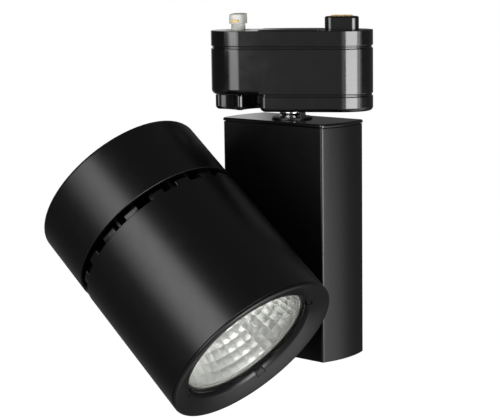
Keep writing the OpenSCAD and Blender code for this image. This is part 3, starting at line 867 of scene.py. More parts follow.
class Slot(Enum):
    """The record's material slots, each with its finish."""

    GLOSS_BLACK = Finish("gloss_black", (0.003, 0.003, 0.0032), 0.11, ior=1.58, uneven=0.25,
                         wave_scale=70, wave_depth=0.000008, grain_scale=900, grain_depth=0.0000015,
                         mottle_scale=60)
    SATIN_BLACK = Finish("satin_black", (0.0014, 0.0014, 0.0015), 0.31, uneven=0.06,
                         wave_scale=260, wave_depth=0.000004, grain_scale=2600,
                         grain_depth=0.000004)
    ALUMINIUM = Finish("aluminium", (0.62, 0.63, 0.64), 0.34, 1.0, uneven=0.25, grain_scale=500,
                       grain_depth=0.00001, stretch=(1, 1, 14), spin=0.4)
    ANODISED = Finish("anodised", (0.008, 0.008, 0.009), 0.42, ior=1.45, uneven=0.12,
                      grain_scale=1800, grain_depth=0.000005, stretch=(1, 1, 5))
    REFLECTOR = Finish("reflector", (0.94, 0.945, 0.925), 0.38, 1.0, uneven=0.15, mottle=0.03,
                       grain_scale=1500, grain_depth=0.000004, mottle_scale=240)
    STEEL = Finish("steel", (0.5, 0.5, 0.51), 0.27, 1.0, uneven=0.3, grain_scale=1400,
                   grain_depth=0.000006, mottle_scale=320)
    CHROME = Finish("chrome", (0.6, 0.6, 0.62), 0.08, 1.0, uneven=0.4, mottle=0.03,
                    wave_scale=300, wave_depth=0.000006)
    BRASS = Finish("brass", (0.72, 0.5, 0.2), 0.24, 1.0, uneven=0.3, mottle=0.2, grain_scale=1200,
                   grain_depth=0.000005, mottle_scale=260)
    NYLON = Finish("nylon", (0.72, 0.71, 0.66), 0.5, uneven=0.12, mottle=0.05, grain_scale=1500,
                   grain_depth=0.000008)
    BOARD = Finish("board", (0.02, 0.16, 0.06), 0.3, uneven=0.2, mottle=0.25, mottle_scale=400,
                   coat=0.5, coat_rough=0.15)
    TAPE = Finish("tape", (0.75, 0.55, 0.08), 0.34, uneven=0.15, grain_scale=300,
                  grain_depth=0.00003, stretch=(1, 1, 6), coat=0.3)
    SLEEVE = Finish("sleeve", (0.02, 0.025, 0.08), 0.25, uneven=0.2, wave_scale=350,
                    wave_depth=0.00003)
    COPPER = Finish("copper", (0.55, 0.2, 0.07), 0.22, 0.8, uneven=0.3, grain_scale=900,
                    grain_depth=0.00005, stretch=(1, 1, 3), coat=0.6)
    PHOSPHOR = Phosphor("phosphor", (0.82, 0.62, 0.16), 0.28, uneven=0.15, mottle_scale=500)
    GLASS = ClearGlass("glass", (0.985, 0.99, 0.98), 0.012, uneven=0.5, mottle=0.004,
                       wave_scale=25, wave_depth=0.000004)
    SEAL = Finish("seal", (0.02, 0.02, 0.02), 0.55, uneven=0.1, grain_scale=1800,
                  grain_depth=0.00001)

    @property
    def key(self) -> str:
        """The slot's name in the record."""
        return self.name.lower()

    @property
    def material(self) -> bpy.types.Material:
        """The slot's material, made once."""
        return bpy.data.materials.get(self.value.label) or self.value.make()


def add_piece(name: str, patch: Patch, slot: Slot, body: str, replaces: tuple[str, ...],
              sharp: float = 30) -> bpy.types.Object:
    """Puts a finished mesh in the scene, on its body and in place of its CAD nodes.

    Args:
        name: name of the piece.
        patch: its mesh in the row frame, in millimetres.
        slot: its finish.
        body: the CAD body it rides on.
        replaces: the CAD nodes it stands for.
        sharp: angle in degrees above which edges are shaded sharp.

    Returns:
        The piece.
    """
    piece = in_scene(name, make_mesh(name, patch, sharp))
    piece.data.materials.append(slot.material)
    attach(piece, body)
    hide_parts(*replaces)
    log.info("%s: %d faces on %s", name, len(piece.data.polygons), body)
    return piece


@dataclass
class Assembly:
    """Pieces that share a local frame and a CAD body."""

    axes: Axes = field(default_factory=row_axes)
    rides: str = ""

    def span(self, node: str, axis: int) -> tuple[float, float]:
        """Lowest and highest coordinate of a CAD node along one of the assembly's axes."""
        return self.axes.span(node, axis)

    def add(self, name: str, patch: Patch, slot: Slot, node: str,
            sharp: float = 30) -> bpy.types.Object:
        """A finished piece from a mesh in the assembly's frame, in place of a CAD node."""
        return add_piece(name, patch.moved(self.axes), slot, self.rides, (node,), sharp)


# ------------------------------------------------------------------ track adapter


@dataclass
class TrackAdapter(Assembly):
    """Three moulded shells that hang under the track, parted by two narrow grooves.

    The contact post's foot lies post_drop below the top of the cap. An end's lower edge turns
    rounder where the outline's normal points back by more than end_from, over end_over.
    """

    rides: str = "adapter"
    ease: float = 25.0
    groove: float = 1.6
    neck: float = 1.35
    bead: float = 0.55
    bead_height: float = 0.5
    bead_edge: float = 0.15
    wall: float = 2.2
    plate: float = 3.0
    edge: float = 0.45
    lower_edge: float = 2.6
    knob_edge: float = 3.6
    end_corner: float = 4.0
    end_edge: float = 3.5
    end_from: float = 0.2
    end_over: float = 0.7
    floor: float = 2.4
    floor_rise: float = 0.8
    step: float = 0.02
    post_drop: float = 10.4
    seat_half: tuple[float, float] = (20, 12)
    seat_corner: float = 1.5
    seat_inset: float = 1.2
    seat_sunk: float = 1.0
    seat_edge: float = 0.25
    bush_r: float = 8.0
    bush_deep: float = 6.0
    pin_r: float = 1.3
    pin_deep: float = 2.0
    head_r: float = 2.82
    tongue_width: float = 9.4
    tongue_foot: float = -3.6
    tongue_edge: float = 1.2
    tongue_short: float = 4.0
    slot_half: float = 1.0
    slot_deep: float = 3.0
    slot_end: float = 2.0

    def __post_init__(self) -> None:
        """Reads the sizes of the shells from the frame."""
        lo, hi = self.span("adapter_cap", 0)
        self.length = hi - lo
        lo, hi = self.span("adapter_cap", 1)
        self.width = hi - lo
        self.cap_low = self.span("adapter_cap", 2)[0]
        self.cap_top = self.span("contact_rotor", 2)[0] + self.post_drop
        self.body_low = self.span("adapter_body", 2)[0]
        self.cover_end = self.span("adapter_cover", 0)[0]
        self.cover_low, self.cover_lip = self.span("adapter_cover", 2)

    def build(self) -> None:
        """Makes the three shells and the tongue that enters the track."""
        self.cap()
        self.body()
        self.cover()
        self.tongue()

    def cap(self) -> None:
        """Makes the top shell, with its raised seat."""
        plan = stadium(self.length, self.width, ease=self.ease)
        half, top, wall = self.width / 2, self.cap_top, self.wall
        under, inset, sunk = top - self.plate, self.seat_inset, top - self.seat_sunk
        section = profile([(half, under, 0), (wall, under, 0), (wall, self.cap_low, 0),
                           (0, self.cap_low, self.edge), (0, top, self.edge), (half, top, 0)])
        x, y = self.seat_half
        seat = round_rect(-x, x, -y, y, self.seat_corner)
        pad = profile([(inset, sunk, 0), (0, sunk, 0), (0, 0, self.seat_edge), (inset, 0, 0)])
        patch = carried(plan, section, False, False) + carried(seat, pad)
        self.add("top_shell", patch, Slot.GLOSS_BLACK, "adapter_cap")

    def joint_line(self, high: float) -> list[Corner]:
        """Corners of a joint line down from a height: a neck with a bead at its middle.

        Args:
            high: height of the shell above the joint line.

        Returns:
            Corners from the neck's top to its foot, as inset, height and radius.
        """
        neck, bead, edge = self.neck, self.bead, self.bead_edge
        low, middle, half = high - self.groove, high - self.groove / 2, self.bead_height / 2
        return [(neck, high, 0), (neck, middle + half, 0), (bead, middle + half, edge),
                (bead, middle - half, edge), (neck, middle - half, 0), (neck, low, 0)]

    def body(self) -> None:
        """Makes the middle shell, deeper and rounder above the knob than above the cover."""
        step = np.array([self.cover_end - self.step, self.cover_end + self.step])
        plan = stadium(self.length, self.width, extra=step, ease=self.ease)
        half, top, wall = self.width / 2, self.cap_low - self.groove, self.wall
        inner = self.body_low + self.floor + self.floor_rise
        neck = [(half, inner, 0), (wall, inner, 0), (wall, self.cap_low, 0),
                *self.joint_line(self.cap_low), (0, top, self.edge)]
        shallow = profile(neck + [(0, self.cover_lip, self.edge), (half, self.cover_lip, 0)])
        deep = profile(neck + [(0, self.body_low, self.knob_edge), (half, self.body_low, 0)])
        weight = (plan.points[:, 0] < self.cover_end).astype(float)
        patch = carried(plan, shallow, False, False, (deep, weight))
        self.add("middle_shell", patch, Slot.GLOSS_BLACK, "adapter_body")

    def cover(self) -> None:
        """Makes the bottom shell, with holes for its screws, the bush and the stop pin."""
        r, c, end = self.width / 2, self.end_corner, self.cover_end
        plan = run_of([*round_end(self.length, self.width, self.ease),
                       (end + c, r - c, c, 90, 180), (end + c, c - r, c, 180, 270)], 24)
        low, lip, wall = self.cover_low, self.cover_lip, self.wall
        inner, top = low + self.floor, lip - self.groove

        def section(radius: float) -> Array:
            """Section with a given radius along the lower edge."""
            return profile([(wall + 1, inner, 0), (wall, inner, 0), (wall, lip, 0),
                            *self.joint_line(lip), (0, top, self.edge), (0, low, radius),
                            (c - self.step, low, 0)], steps=8, hold=0.1)

        weight = np.clip((-plan.normals[:, 0] - self.end_from) / self.end_over, 0, 1)
        patch = carried(plan, section(self.lower_edge), lean=(section(self.end_edge), weight))
        piece = self.add("bottom_shell", patch, Slot.GLOSS_BLACK, "adapter_cover")
        pin = node_points("stop_pin").mean(0)
        holes = screw_holes("cover_screws", self.axes, low, 1, self.head_r)
        holes.append(plug(self.bush_r, low - 1, low + self.bush_deep, 96))
        holes.append(shifted(plug(self.pin_r, low - 1, low + self.pin_deep, 32), pin[0], pin[1]))
        cut(piece, together(holes))

    def tongue(self) -> None:
        """Makes the fixed tongue, slotted for the ground contact."""
        x0, x1 = self.span("track_guide", 0)
        top = self.span("track_guide", 2)[1]
        middle, length, width = (x0 + x1) / 2, x1 - x0 - self.tongue_short, self.tongue_width
        foot, half, deep = self.tongue_foot, length / 2 - self.slot_end, top - self.slot_deep
        plan = stadium(length, width, middle, 12)
        section = profile([(width / 2, foot, 0), (0, foot, 0), (0, top, self.tongue_edge),
                           (width / 2, top, 0)])
        piece = self.add("track_tongue", carried(plan, section, False, False),
                         Slot.GLOSS_BLACK, "track_guide")
        slot = block((middle - half, -self.slot_half, deep),
                     (middle + half, self.slot_half, top + 1), 0.05, 0.05)
        cut(piece, slot)


# ------------------------------------------------------------------ track lock


@dataclass
class TrackLock(Assembly):
    """The knob under the adapter and the contact post that it turns.

    The tables give radius, height and edge radius. Those of dish stand on the knob's underside.
    """

    axes: Axes = field(default_factory=lock_axes)
    rides: str = "lock"
    hub: float = 8.6
    wing: float = 5.6
    tip_edge: float = 2.5
    flank_edge: float = 0.8
    dish: tuple[Corner, ...] = ((0, 1, 0), (6.2, 1, 0), (6.2, 0, 0.5), (5.2, 0.01, 0.3),
                                (4.8, 0.7, 0.2), (0, 0.7, 0))
    head_length: float = 22.0
    head_width: float = 9.2
    head_low: float = 3.6
    head_top: float = 10.0
    column: tuple[Corner, ...] = ((0, -11, 0), (12, -11, 0), (12, -3.6, 0), (9, -3.6, 0),
                                  (9, -0.6, 0.2), (4.6, -0.6, 0), (4.6, 5, 0), (0, 5, 0))

    def __post_init__(self) -> None:
        """Reads the size of the knob and the direction of its wings from the frame."""
        self.reach = self.axes.reach("lock_knob")
        self.low, self.top = self.span("lock_knob", 2)
        tips = self.axes.local(node_points("lock_knob"))
        tips = tips[np.hypot(tips[:, 0], tips[:, 1]) > self.reach - 0.05]
        self.turn = float(np.median(np.degrees(np.arctan2(tips[:, 1], tips[:, 0])) % 90))

    def build(self) -> None:
        """Makes the knob and the post."""
        self.knob()
        self.post()

    def cross(self) -> Plan:
        """Outline of four round wing tips joined by hollow arcs that touch the hub's circle.

        A hollow arc of radius q is centred hub + q from the axis, halfway between two wings, and
        touches both tips where that centre lies q plus the tip's radius from the tip's centre.

        Returns:
            The outline.
        """
        w, hub = self.wing / 2, self.hub
        tip = self.reach - w
        slant = sqrt(2) * tip
        q = (tip ** 2 - slant * hub + hub ** 2 - w ** 2) / (slant - 2 * hub + 2 * w)
        far = (hub + q) / sqrt(2)
        lean = degrees(atan2(far, far - tip))
        arcs: list[Arc] = []
        for spin in (0, 90, 180, 270):
            c, s = cos(radians(spin)), sin(radians(spin))
            arcs.append((tip * c, tip * s, w, spin - lean, spin + lean))
            arcs.append((far * (c - s), far * (c + s), -q, spin + lean + 180, spin + 270 - lean))
        return run_of(arcs, 24)

    def knob(self) -> None:
        """Makes the four-winged knob, rounder below its tips than below its hollow flanks."""
        plan, middle = self.cross(), self.wing / 2

        def section(edge: float) -> Array:
            """Section with a given radius along the lower edge."""
            return profile([(middle - 0.15, self.top, 0), (0, self.top, 0.3), (0, self.low, edge),
                            (middle - 0.1, self.low, 0)], steps=6, hold=0.02)

        out = np.hypot(*plan.points.T)
        weight = np.clip((out - self.hub) / (self.reach - self.hub), 0, 1)
        wings = carried(plan, section(self.flank_edge), lean=(section(self.tip_edge), weight))
        dish = profile([(r, self.low + z, edge) for r, z, edge in self.dish])
        patch = turned(wings, self.turn) + revolve(dish, 64, False)
        self.add("lock_knob_shell", patch, Slot.GLOSS_BLACK, "lock_knob")

    def post(self) -> None:
        """Makes the post that enters the track and turns across its slot."""
        half, low, top = self.head_width / 2, self.head_low, self.head_top
        plan = stadium(self.head_length, self.head_width, 0, 12)
        head = profile([(half, low, 0), (0, low, 0.3), (0, top, 1.0), (half, top, 0)])
        column = revolve(profile(self.column), 96, False)
        patch = turned(carried(plan, head, False, False), 90) + column
        self.add("contact_post", patch, Slot.NYLON, "contact_rotor")


# ------------------------------------------------------------------ driver box


@dataclass
class DriverBox(Assembly):
    """The driver box, its lid, and the nut and stop disc between it and the adapter.

    The table gives radius, height over the nut's foot and edge radius.
    """

    axes: Axes = field(default_factory=arm_axes)
    rides: str = "arm"
    corner: float = 2.0
    least_corner: float = 0.4
    bow: float = 3.6
    lap: float = 0.5
    wall: float = 1.96
    floor: float = 2.4
    top_edge: float = 0.3
    low_edge: float = 0.8
    lid_gap: float = 0.5
    lid_edge: float = 1.0
    lid_lip: float = 1.5
    lid_fill: float = 2.4
    stem: float = 5.5
    nut_side: tuple[Corner, ...] = ((8.3, 0, 0.3), (8.3, 0.65, 0.3), (6.9, 0.95, 0.15),
                                    (8.0, 2.7, 0.3))
    nut_r: float = 8.0
    disc_r: float = 13.3
    disc_thick: float = 1.2
    tab_from: Triple = (12.2, -2.1, 0.6)
    tab_to: tuple[float, float] = (13.4, 2.1)

    def __post_init__(self) -> None:
        """Reads the sizes of the box from the frame."""
        x0, x1 = self.span("arm_housing", 0)
        y0, y1 = self.span("arm_housing", 1)
        self.length, self.width = x1 - x0 - 2 * self.bow, y1 - y0
        self.low, self.top = self.span("arm_housing", 2)
        self.lid_low, self.lid_top = self.top + self.lid_gap, self.span("arm_lid", 2)[1]

    def plan(self, inset: float = 0.0) -> Plan:
        """Outline with flat sides, crowned ends and round corners.

        Args:
            inset: distance that the whole outline is set in.

        Returns:
            The outline.
        """
        half = self.width / 2
        big = (half ** 2 + self.bow ** 2) / (2 * self.bow)
        middle = self.length / 2 + self.bow - big
        w, big = half - inset, big - inset
        r = max(self.corner - inset, self.least_corner)
        fy = w - r
        fx = middle + sqrt((big - r) ** 2 - fy ** 2)
        lean = degrees(asin(fy / (big - r)))
        return run_of([(fx, -fy, r, -90, -lean), (middle, 0, big, -lean, lean),
                       (fx, fy, r, lean, 90), (-fx, fy, r, 90, 180 - lean),
                       (-middle, 0, big, 180 - lean, 180 + lean),
                       (-fx, -fy, r, 180 + lean, 270)], 40)

    def build(self) -> None:
        """Makes the box, its lid, the nut and the stop disc."""
        self.housing()
        self.lid()
        self.nut()
        self.disc()

    def housing(self) -> None:
        """Makes the box, closed below and open under the lid."""
        wall, base = self.wall, self.low + self.floor
        section = profile([(wall, base, 0), (wall, self.top, 0), (0, self.top, self.top_edge),
                           (0, self.low, self.low_edge), (wall, self.low, 0)])
        self.add("driver_box", carried(self.plan(), section), Slot.SATIN_BLACK, "arm_housing")

    def lid(self) -> None:
        """Makes the lid, which laps over the box."""
        lip, fill, low, top = self.lid_lip, self.lid_fill, self.lid_low, self.lid_top
        section = profile([(fill, top, 0), (0, top, self.lid_edge), (0, low, 0.25), (lip, low, 0),
                           (lip, self.top, 0), (fill, self.top, 0)])
        self.add("box_lid", carried(self.plan(-self.lap), section), Slot.GLOSS_BLACK, "arm_lid")

    def nut(self) -> None:
        """Makes the round chromed nut on the stem, in the row frame."""
        low, top = self.span("stem_nut", 2)
        side = [(r, low + z, edge) for r, z, edge in self.nut_side]
        line = profile([(self.stem, low, 0), *side, (self.nut_r, top, 0.6),
                        (self.stem, top, 0.3)], closed=True)
        add_piece("chrome_nut", revolve(line, 96), Slot.CHROME, self.rides, ("stem_nut",))

    def disc(self) -> None:
        """Makes the disc under the nut, with its upright stop tab, in the row frame."""
        low, top = self.span("stop_washer", 2)
        upper = low + self.disc_thick
        line = profile([(self.stem, low, 0), (self.disc_r, low, 0.2), (self.disc_r, upper, 0.4),
                        (self.stem, upper, 0)], closed=True)
        points = node_points("stop_washer")
        tab = points[points[:, 2] > top - NEAR].mean(0)
        x, y, z = self.tab_from
        tongue = turned(block((x, y, low + z), (*self.tab_to, top), 0.25, 0.3),
                        degrees(atan2(tab[1], tab[0])))
        add_piece("stop_disc", revolve(line, 128) + tongue, Slot.SATIN_BLACK, self.rides,
                  ("stop_washer",))


# ------------------------------------------------------------------ tilt joint


@dataclass
class TiltJoint(Assembly):
    """The hub on the box's side and the boss on the barrel, which turn on each other."""

    axes: Axes = field(default_factory=tilt_axes)
    rides: str = "arm"
    head: Axes = field(default_factory=head_axes)
    bore: float = 5.05
    spigot: float = 8.0
    radius: float = 15.0
    flange: float = 3.0
    sink: float = 0.15
    rim: float = 0.3
    steps: int = 160

    def build(self) -> None:
        """Makes the hub and the boss."""
        self.hub()
        self.boss()

    def hub(self) -> None:
        """Makes the round hub, screwed to the box from inside."""
        back, face = self.span("tilt_hub", 2)
        seat, bore, spigot, r = face - self.flange, self.bore, self.spigot, self.radius
        line = profile([(bore, back, 0), (spigot, back, 0.2), (spigot, seat, 0), (r, seat, 0.1),
                        (r, face, 0.5), (bore, face, 0)], closed=True)
        self.add("hub_flange", revolve(line, 128), Slot.SATIN_BLACK, "tilt_hub")

    def boss(self) -> None:
        """Makes the boss, whose far end follows the round barrel.

        A point of its rim at angle a lies r cos(a) off the head's axis plane, so the barrel
        meets it at the head's offset less the root of R squared minus that squared.
        """
        face, end = self.span("head_boss", 2)
        barrel = self.head.reach("barrel")
        offset = float((self.head.origin - self.axes.origin) @ self.axes.turn[:, 2])
        lean = self.axes.turn.T @ self.head.turn[:, 0]
        bore, r, spigot = self.bore, self.radius, self.spigot
        turn = np.linspace(0, 2 * pi, self.steps, endpoint=False)
        side = np.cos(turn) * lean[0] + np.sin(turn) * lean[1]

        def meet(radius: float) -> Array:
            """Height at which the barrel lies at a radius, just inside its skin."""
            return offset - np.sqrt(barrel ** 2 - (radius * side) ** 2) + self.sink

        near = [(bore, face), (r - 0.5, face), (r - 0.15, face + 0.15), (r, face + 0.5)]
        rows = [(radius, np.full(self.steps, z)) for radius, z in near]
        far = np.full(self.steps, end)
        rows += [(r, meet(r) - self.rim), (r, meet(r)), (spigot, meet(spigot)), (spigot, far),
                 (bore, far)]
        grid = np.stack([np.column_stack([radius * np.cos(turn), radius * np.sin(turn), z])
                         for radius, z in rows])
        add_piece("barrel_boss", surface(grid, wrap_rows=True).moved(self.axes),
                  Slot.SATIN_BLACK, "head", ("head_boss",), 35)


# ------------------------------------------------------------------ lamp head


@dataclass
class LampHead(Assembly):
    """Barrel, vent fingers and rear cap of the lamp head."""

    axes: Axes = field(default_factory=head_axes)
    rides: str = "head"
    steps: int = 320
    wall: float = 2.3
    lip: float = 0.3
    rear_lip: float = 0.5
    cap_lip: float = 0.55
    rear_edge: float = 2.0
    rear_plate: float = 3.0
    head_r: float = 3.02
    vents: int = 19
    finger_tip: float = 1.6
    finger_wall: float = 2.6
    finger_foot: float = 1.0
    collar: float = 9.0
    play: float = 0.05
    rounding: tuple[tuple[float, float], ...] = ((0, 0.25), (0.15, 0.07), (0.25, 0))

    def __post_init__(self) -> None:
        """Reads the sizes of the shells from the frame."""
        self.radius = self.axes.reach("barrel")
        self.inner = self.radius - self.wall
        self.front, self.barrel_end = self.span("barrel", 2)
        self.cap_start, self.rear = self.span("rear_cap", 2)
        self.finger_end = self.span("vent_ring", 2)[1]
        self.finger_r = self.axes.reach("vent_ring")

    def build(self) -> None:
        """Makes the three shells."""
        self.barrel()
        self.vent_fingers()
        self.rear_cap()

    def barrel(self) -> None:
        """Makes the open tube between the front ring and the vents."""
        r, inner, front, end = self.radius, self.inner, self.front, self.barrel_end
        line = profile([(inner, front, 0), (r, front, self.lip), (r, end, self.rear_lip),
                        (inner, end, 0)], closed=True, steps=4)
        self.add("barrel_tube", revolve(line, self.steps), Slot.SATIN_BLACK, "barrel")

    def vent_turns(self) -> tuple[float, float]:
        """Reads the vents' places from the frame.

        Returns:
            Angle of one vent's middle, and the angle that it spans, in degrees.
        """
        points = self.axes.local(node_points("vent_ring"))
        tips = points[points[:, 2] > self.finger_end - 0.6]
        turn = np.sort(np.degrees(np.arctan2(tips[:, 1], tips[:, 0])) % (360 / self.vents))
        gap = np.diff(np.append(turn, turn[0] + 360 / self.vents))
        widest = int(gap.argmax())
        return float(turn[widest] + gap[widest] / 2), float(gap[widest])

    def vent_fingers(self) -> None:
        """Makes the ring inside the barrel's end, with fingers between the vents.

        Each finger is a closed block on a grid of its own section and its angle. Near its sides
        the section is drawn in towards its middle, by the distances that rounding gives.
        """
        middle, gap = self.vent_turns()
        thin, end, start = self.inner - self.finger_wall, self.finger_end, self.barrel_end
        outer, low, high = self.inner - self.play, start - self.collar, start - 0.2
        collar = profile([(thin, low, 0), (outer, low, 0), (outer, high, 0), (thin, high, 0)],
                         closed=True)
        foot, r = start - self.finger_foot, self.finger_r
        section = profile([(thin, foot, 0), (r, foot, 0), (r, end, self.finger_tip),
                           (thin, end, 0.2)], closed=True, steps=6)
        pitch = 360 / self.vents
        half = (pitch - gap) / 2
        side = [(-half + inset, drawn) for inset, drawn in self.rounding]
        across = np.array([*side, (0, 0), *[(-angle, drawn) for angle, drawn in side[::-1]]])
        mid = section.mean(0)
        pull = 1 - across[:, 1] / np.maximum(np.hypot(*(section - mid).T), 0.3)[:, None]
        r = mid[0] + (section[:, :1] - mid[0]) * pull
        z = mid[1] + (section[:, 1:] - mid[1]) * pull
        patches = [revolve(collar, self.steps)]
        for n in range(self.vents):
            turn = radians(middle + pitch * (n + 0.5)) + np.radians(across[:, 0])
            grid = np.stack([r * np.cos(turn), r * np.sin(turn), z], -1)
            patches.append(surface(np.swapaxes(grid, 0, 1), cap_first=True, cap_last=True))
        self.add("vent_fingers", together(patches), Slot.SATIN_BLACK, "vent_ring")

    def rear_cap(self) -> None:
        """Makes the cap over the heat sink, with countersunk holes in its rear."""
        r, inner, start, rear = self.radius, self.inner, self.cap_start, self.rear
        plate = rear - self.rear_plate
        line = profile([(0, plate, 0), (inner, plate, 1.5), (inner, start, 0),
                        (r, start, self.cap_lip), (r, rear, self.rear_edge), (0, rear, 0)], steps=8)
        piece = self.add("rear_shell", revolve(line, self.steps, False), Slot.SATIN_BLACK,
                         "rear_cap")
        holes = screw_holes("cap_screws", self.axes, rear, -1, self.head_r)
        cut(piece, together(holes).moved(self.axes))


# ------------------------------------------------------------------ optics


@dataclass
class Optics(Assembly):
    """Front ring, clips, glass, faceted reflector and the lamp's holder.

    The ring stays inside its CAD node by the margin. The table clip gives distance outside the
    bore, depth and edge radius.
    """

    axes: Axes = field(default_factory=head_axes)
    rides: str = "head"
    steps: int = 320
    margin: float = 0.015
    rim: float = 1.8
    slope: float = 20.5
    face_bow: float = 4.0
    lead: float = 0.8
    lip: float = 0.9
    lead_slope: float = 57.0
    lead_bow: float = 11.0
    wall: float = 2.3
    play: float = 0.1
    pocket_r: float = 46.4
    seam: float = 0.4
    facet_cols: int = 40
    facet_rows: int = 9
    fine: int = 4
    bulge: float = 0.35
    bowl_power: float = 0.56
    bowl_wall: float = 1.2
    rim_step: float = 1.9
    rim_thick: float = 1.0
    lip_inset: float = 0.25
    lip_thick: float = 0.55
    clip_width: float = 5.4
    clip_gap: float = 0.45
    clip_back: float = 0.8
    clip: tuple[Corner, ...] = ((0.1, 5.2, 0.15), (0.7, 4.6, 0.1), (0.7, 4.1, 0.15),
                                (2.1, 3.6, 0.12), (2.1, 4.4, 0), (2.5, 4.4, 0),
                                (2.5, 3.4, 0.12), (3.2, 3.1, 0.1))

    def __post_init__(self) -> None:
        """Reads the sizes of the optics from the frame."""
        self.bore = accessory_bore()["dims"]["r_mm"]
        self.radius = self.axes.reach("front_ring") - self.margin
        self.glass_at, self.glass_end = self.span("lens_glass", 2)
        self.glass_r = self.axes.reach("lens_glass")
        self.bowl_start, self.bowl_end = self.span("reflector", 2)
        points = self.axes.local(node_points("reflector"))
        radius = np.hypot(points[:, 0], points[:, 1])
        self.mouth = float(radius[points[:, 2] < self.bowl_start + NEAR].min())
        self.throat = float(radius.min())

    def build(self) -> None:
        """Makes the pieces of the optics."""
        self.front_ring()
        self.clips()
        self.glass()
        self.reflector()
        self.holder()

    def front_ring(self) -> None:
        """Makes the ring: a rounded rim, a dished face, a lead-in and the accessory bore."""
        out, glass, tilt = self.radius, self.glass_at, self.slope - self.face_bow
        back, seam = self.span("front_ring", 2)[1], self.span("barrel", 2)[0] - self.seam
        inner = out - self.wall
        seat = inner - self.play
        rim = bend((out - self.rim, self.rim), self.rim, 0, -90 - tilt, 18)
        wide, narrow = self.bore + self.lead, self.bore - self.lip
        edge = (wide, rim[-1, 1] + (rim[-1, 0] - wide) * tan(radians(self.slope)))
        step = (narrow, edge[1] + (wide - narrow) * tan(radians(self.lead_slope)))
        face = self.swept(tuple(rim[-1]), edge, tilt, self.slope + self.face_bow)
        lead = self.swept(edge, step, self.lead_slope - self.lead_bow,
                          self.lead_slope + self.lead_bow)
        rest = profile([(*step, 0), (narrow, glass, 0.15), (self.pocket_r, glass, 0),
                        (self.pocket_r, back, 0), (inner - 1, back, 0), (seat, back - 0.9, 0),
                        (seat, seam, 0), (out - 0.2, seam, 0), (out, self.rim, 0)])
        line = np.vstack([rim, face, edge, lead, rest[:-1]])
        piece = self.add("front_bezel", revolve(line, self.steps), Slot.SATIN_BLACK, "front_ring")
        half = self.clip_width / 2 + self.clip_gap
        slot = block((self.bore - 2, -half, 2.4),
                     (self.bore + 3.2, half, glass - self.clip_back), 0.02, 0.02)
        cut(piece, self.four(slot).moved(self.axes))

    @staticmethod
    def swept(first: tuple[float, float], last: tuple[float, float], slope: float,
              end: float) -> Array:
        """Points of the curve (1 - t)^2 p + 2 t (1 - t) q + t^2 r, without its ends p and r.

        The point q is where the tangents at both ends meet.

        Args:
            first: radius and depth of p.
            last: radius and depth of r, nearer to the axis.
            slope: slope at p, in degrees.
            end: slope at r, in degrees.

        Returns:
            (12, 2) array.
        """
        k0, k1 = tan(radians(slope)), tan(radians(end))
        meet = (last[1] - first[1] - k0 * first[0] + k1 * last[0]) / (k1 - k0)
        p, r = np.array(first), np.array(last)
        q = np.array([meet, first[1] + k0 * (first[0] - meet)])
        t = np.linspace(0, 1, 14)[1:-1, None]
        return (1 - t) ** 2 * p + 2 * t * (1 - t) * q + t ** 2 * r

    def four(self, patch: Patch) -> Patch:
        """Four copies of a mesh, turned to the places of the clips.

        Args:
            patch: the mesh, laid out along the x axis.

        Returns:
            The copies as one mesh.
        """
        points = self.axes.local(node_points("accessory_clips"))
        turn = np.degrees(np.arctan2(points[:, 1], points[:, 0])) % 90
        first = (float(turn.min()) + float(turn.max())) / 2
        return together([turned(patch, first + 90 * n) for n in range(4)])

    def clips(self) -> None:
        """Makes the four small sprung clips in the bore."""
        bore, foot = self.bore, self.glass_at - self.clip_back
        spring = [(bore + out, depth, edge) for out, depth, edge in self.clip]
        first, last = spring[0][0], spring[-1][0]
        outline = profile([*spring, (last, foot, 0), (first, foot, 0.2)], closed=True, steps=3)
        patch = self.four(prism(outline, self.clip_width))
        self.add("bore_clips", patch, Slot.GLOSS_BLACK, "accessory_clips")

    def glass(self) -> None:
        """Makes the flat front glass with ground edges."""
        a, b, r = self.glass_at, self.glass_end, self.glass_r
        line = profile([(0, a, 0), (r, a, 0.3), (r, b, 0.3), (0, b, 0)], steps=2)
        self.add("front_glass", revolve(line, 192, False), Slot.GLASS, "lens_glass")

    def bowl_radius(self, t: Array) -> Array:
        """Radius throat + (mouth - throat)(1 - t)^power, from mouth (t = 0) to throat (t = 1)."""
        return self.throat + (self.mouth - self.throat) * np.power(1 - t, self.bowl_power)

    def reflector(self) -> None:
        """Makes the faceted bowl with its flat rim, and the light lip round its mouth."""
        cols, first = self.facet_cols, self.bowl_start + self.rim_step
        t = np.linspace(0, 1, self.facet_rows + 1)
        line = np.column_stack([self.bowl_radius(t), first + t * (self.bowl_end - first)])
        a = (np.arange(cols + 1) + 0.5) * 2 * pi / cols
        corner = np.column_stack([np.cos(a), np.sin(a)])
        lip = line[0, 0] + self.lip_inset
        out, start, foot = lip + self.lip_thick, self.bowl_start, line[0, 1] - 0.35
        ring = profile([(lip, start, 0.1), (out, start, 0.1), (out, foot, 0), (lip, foot, 0.1)],
                       closed=True)
        self.add("reflector_lip", revolve(ring, self.steps), Slot.NYLON, "reflector")
        patch = self.facets(line, corner) + self.shell(line, corner, lip)
        self.add("faceted_reflector", patch, Slot.REFLECTOR, "reflector", 7)

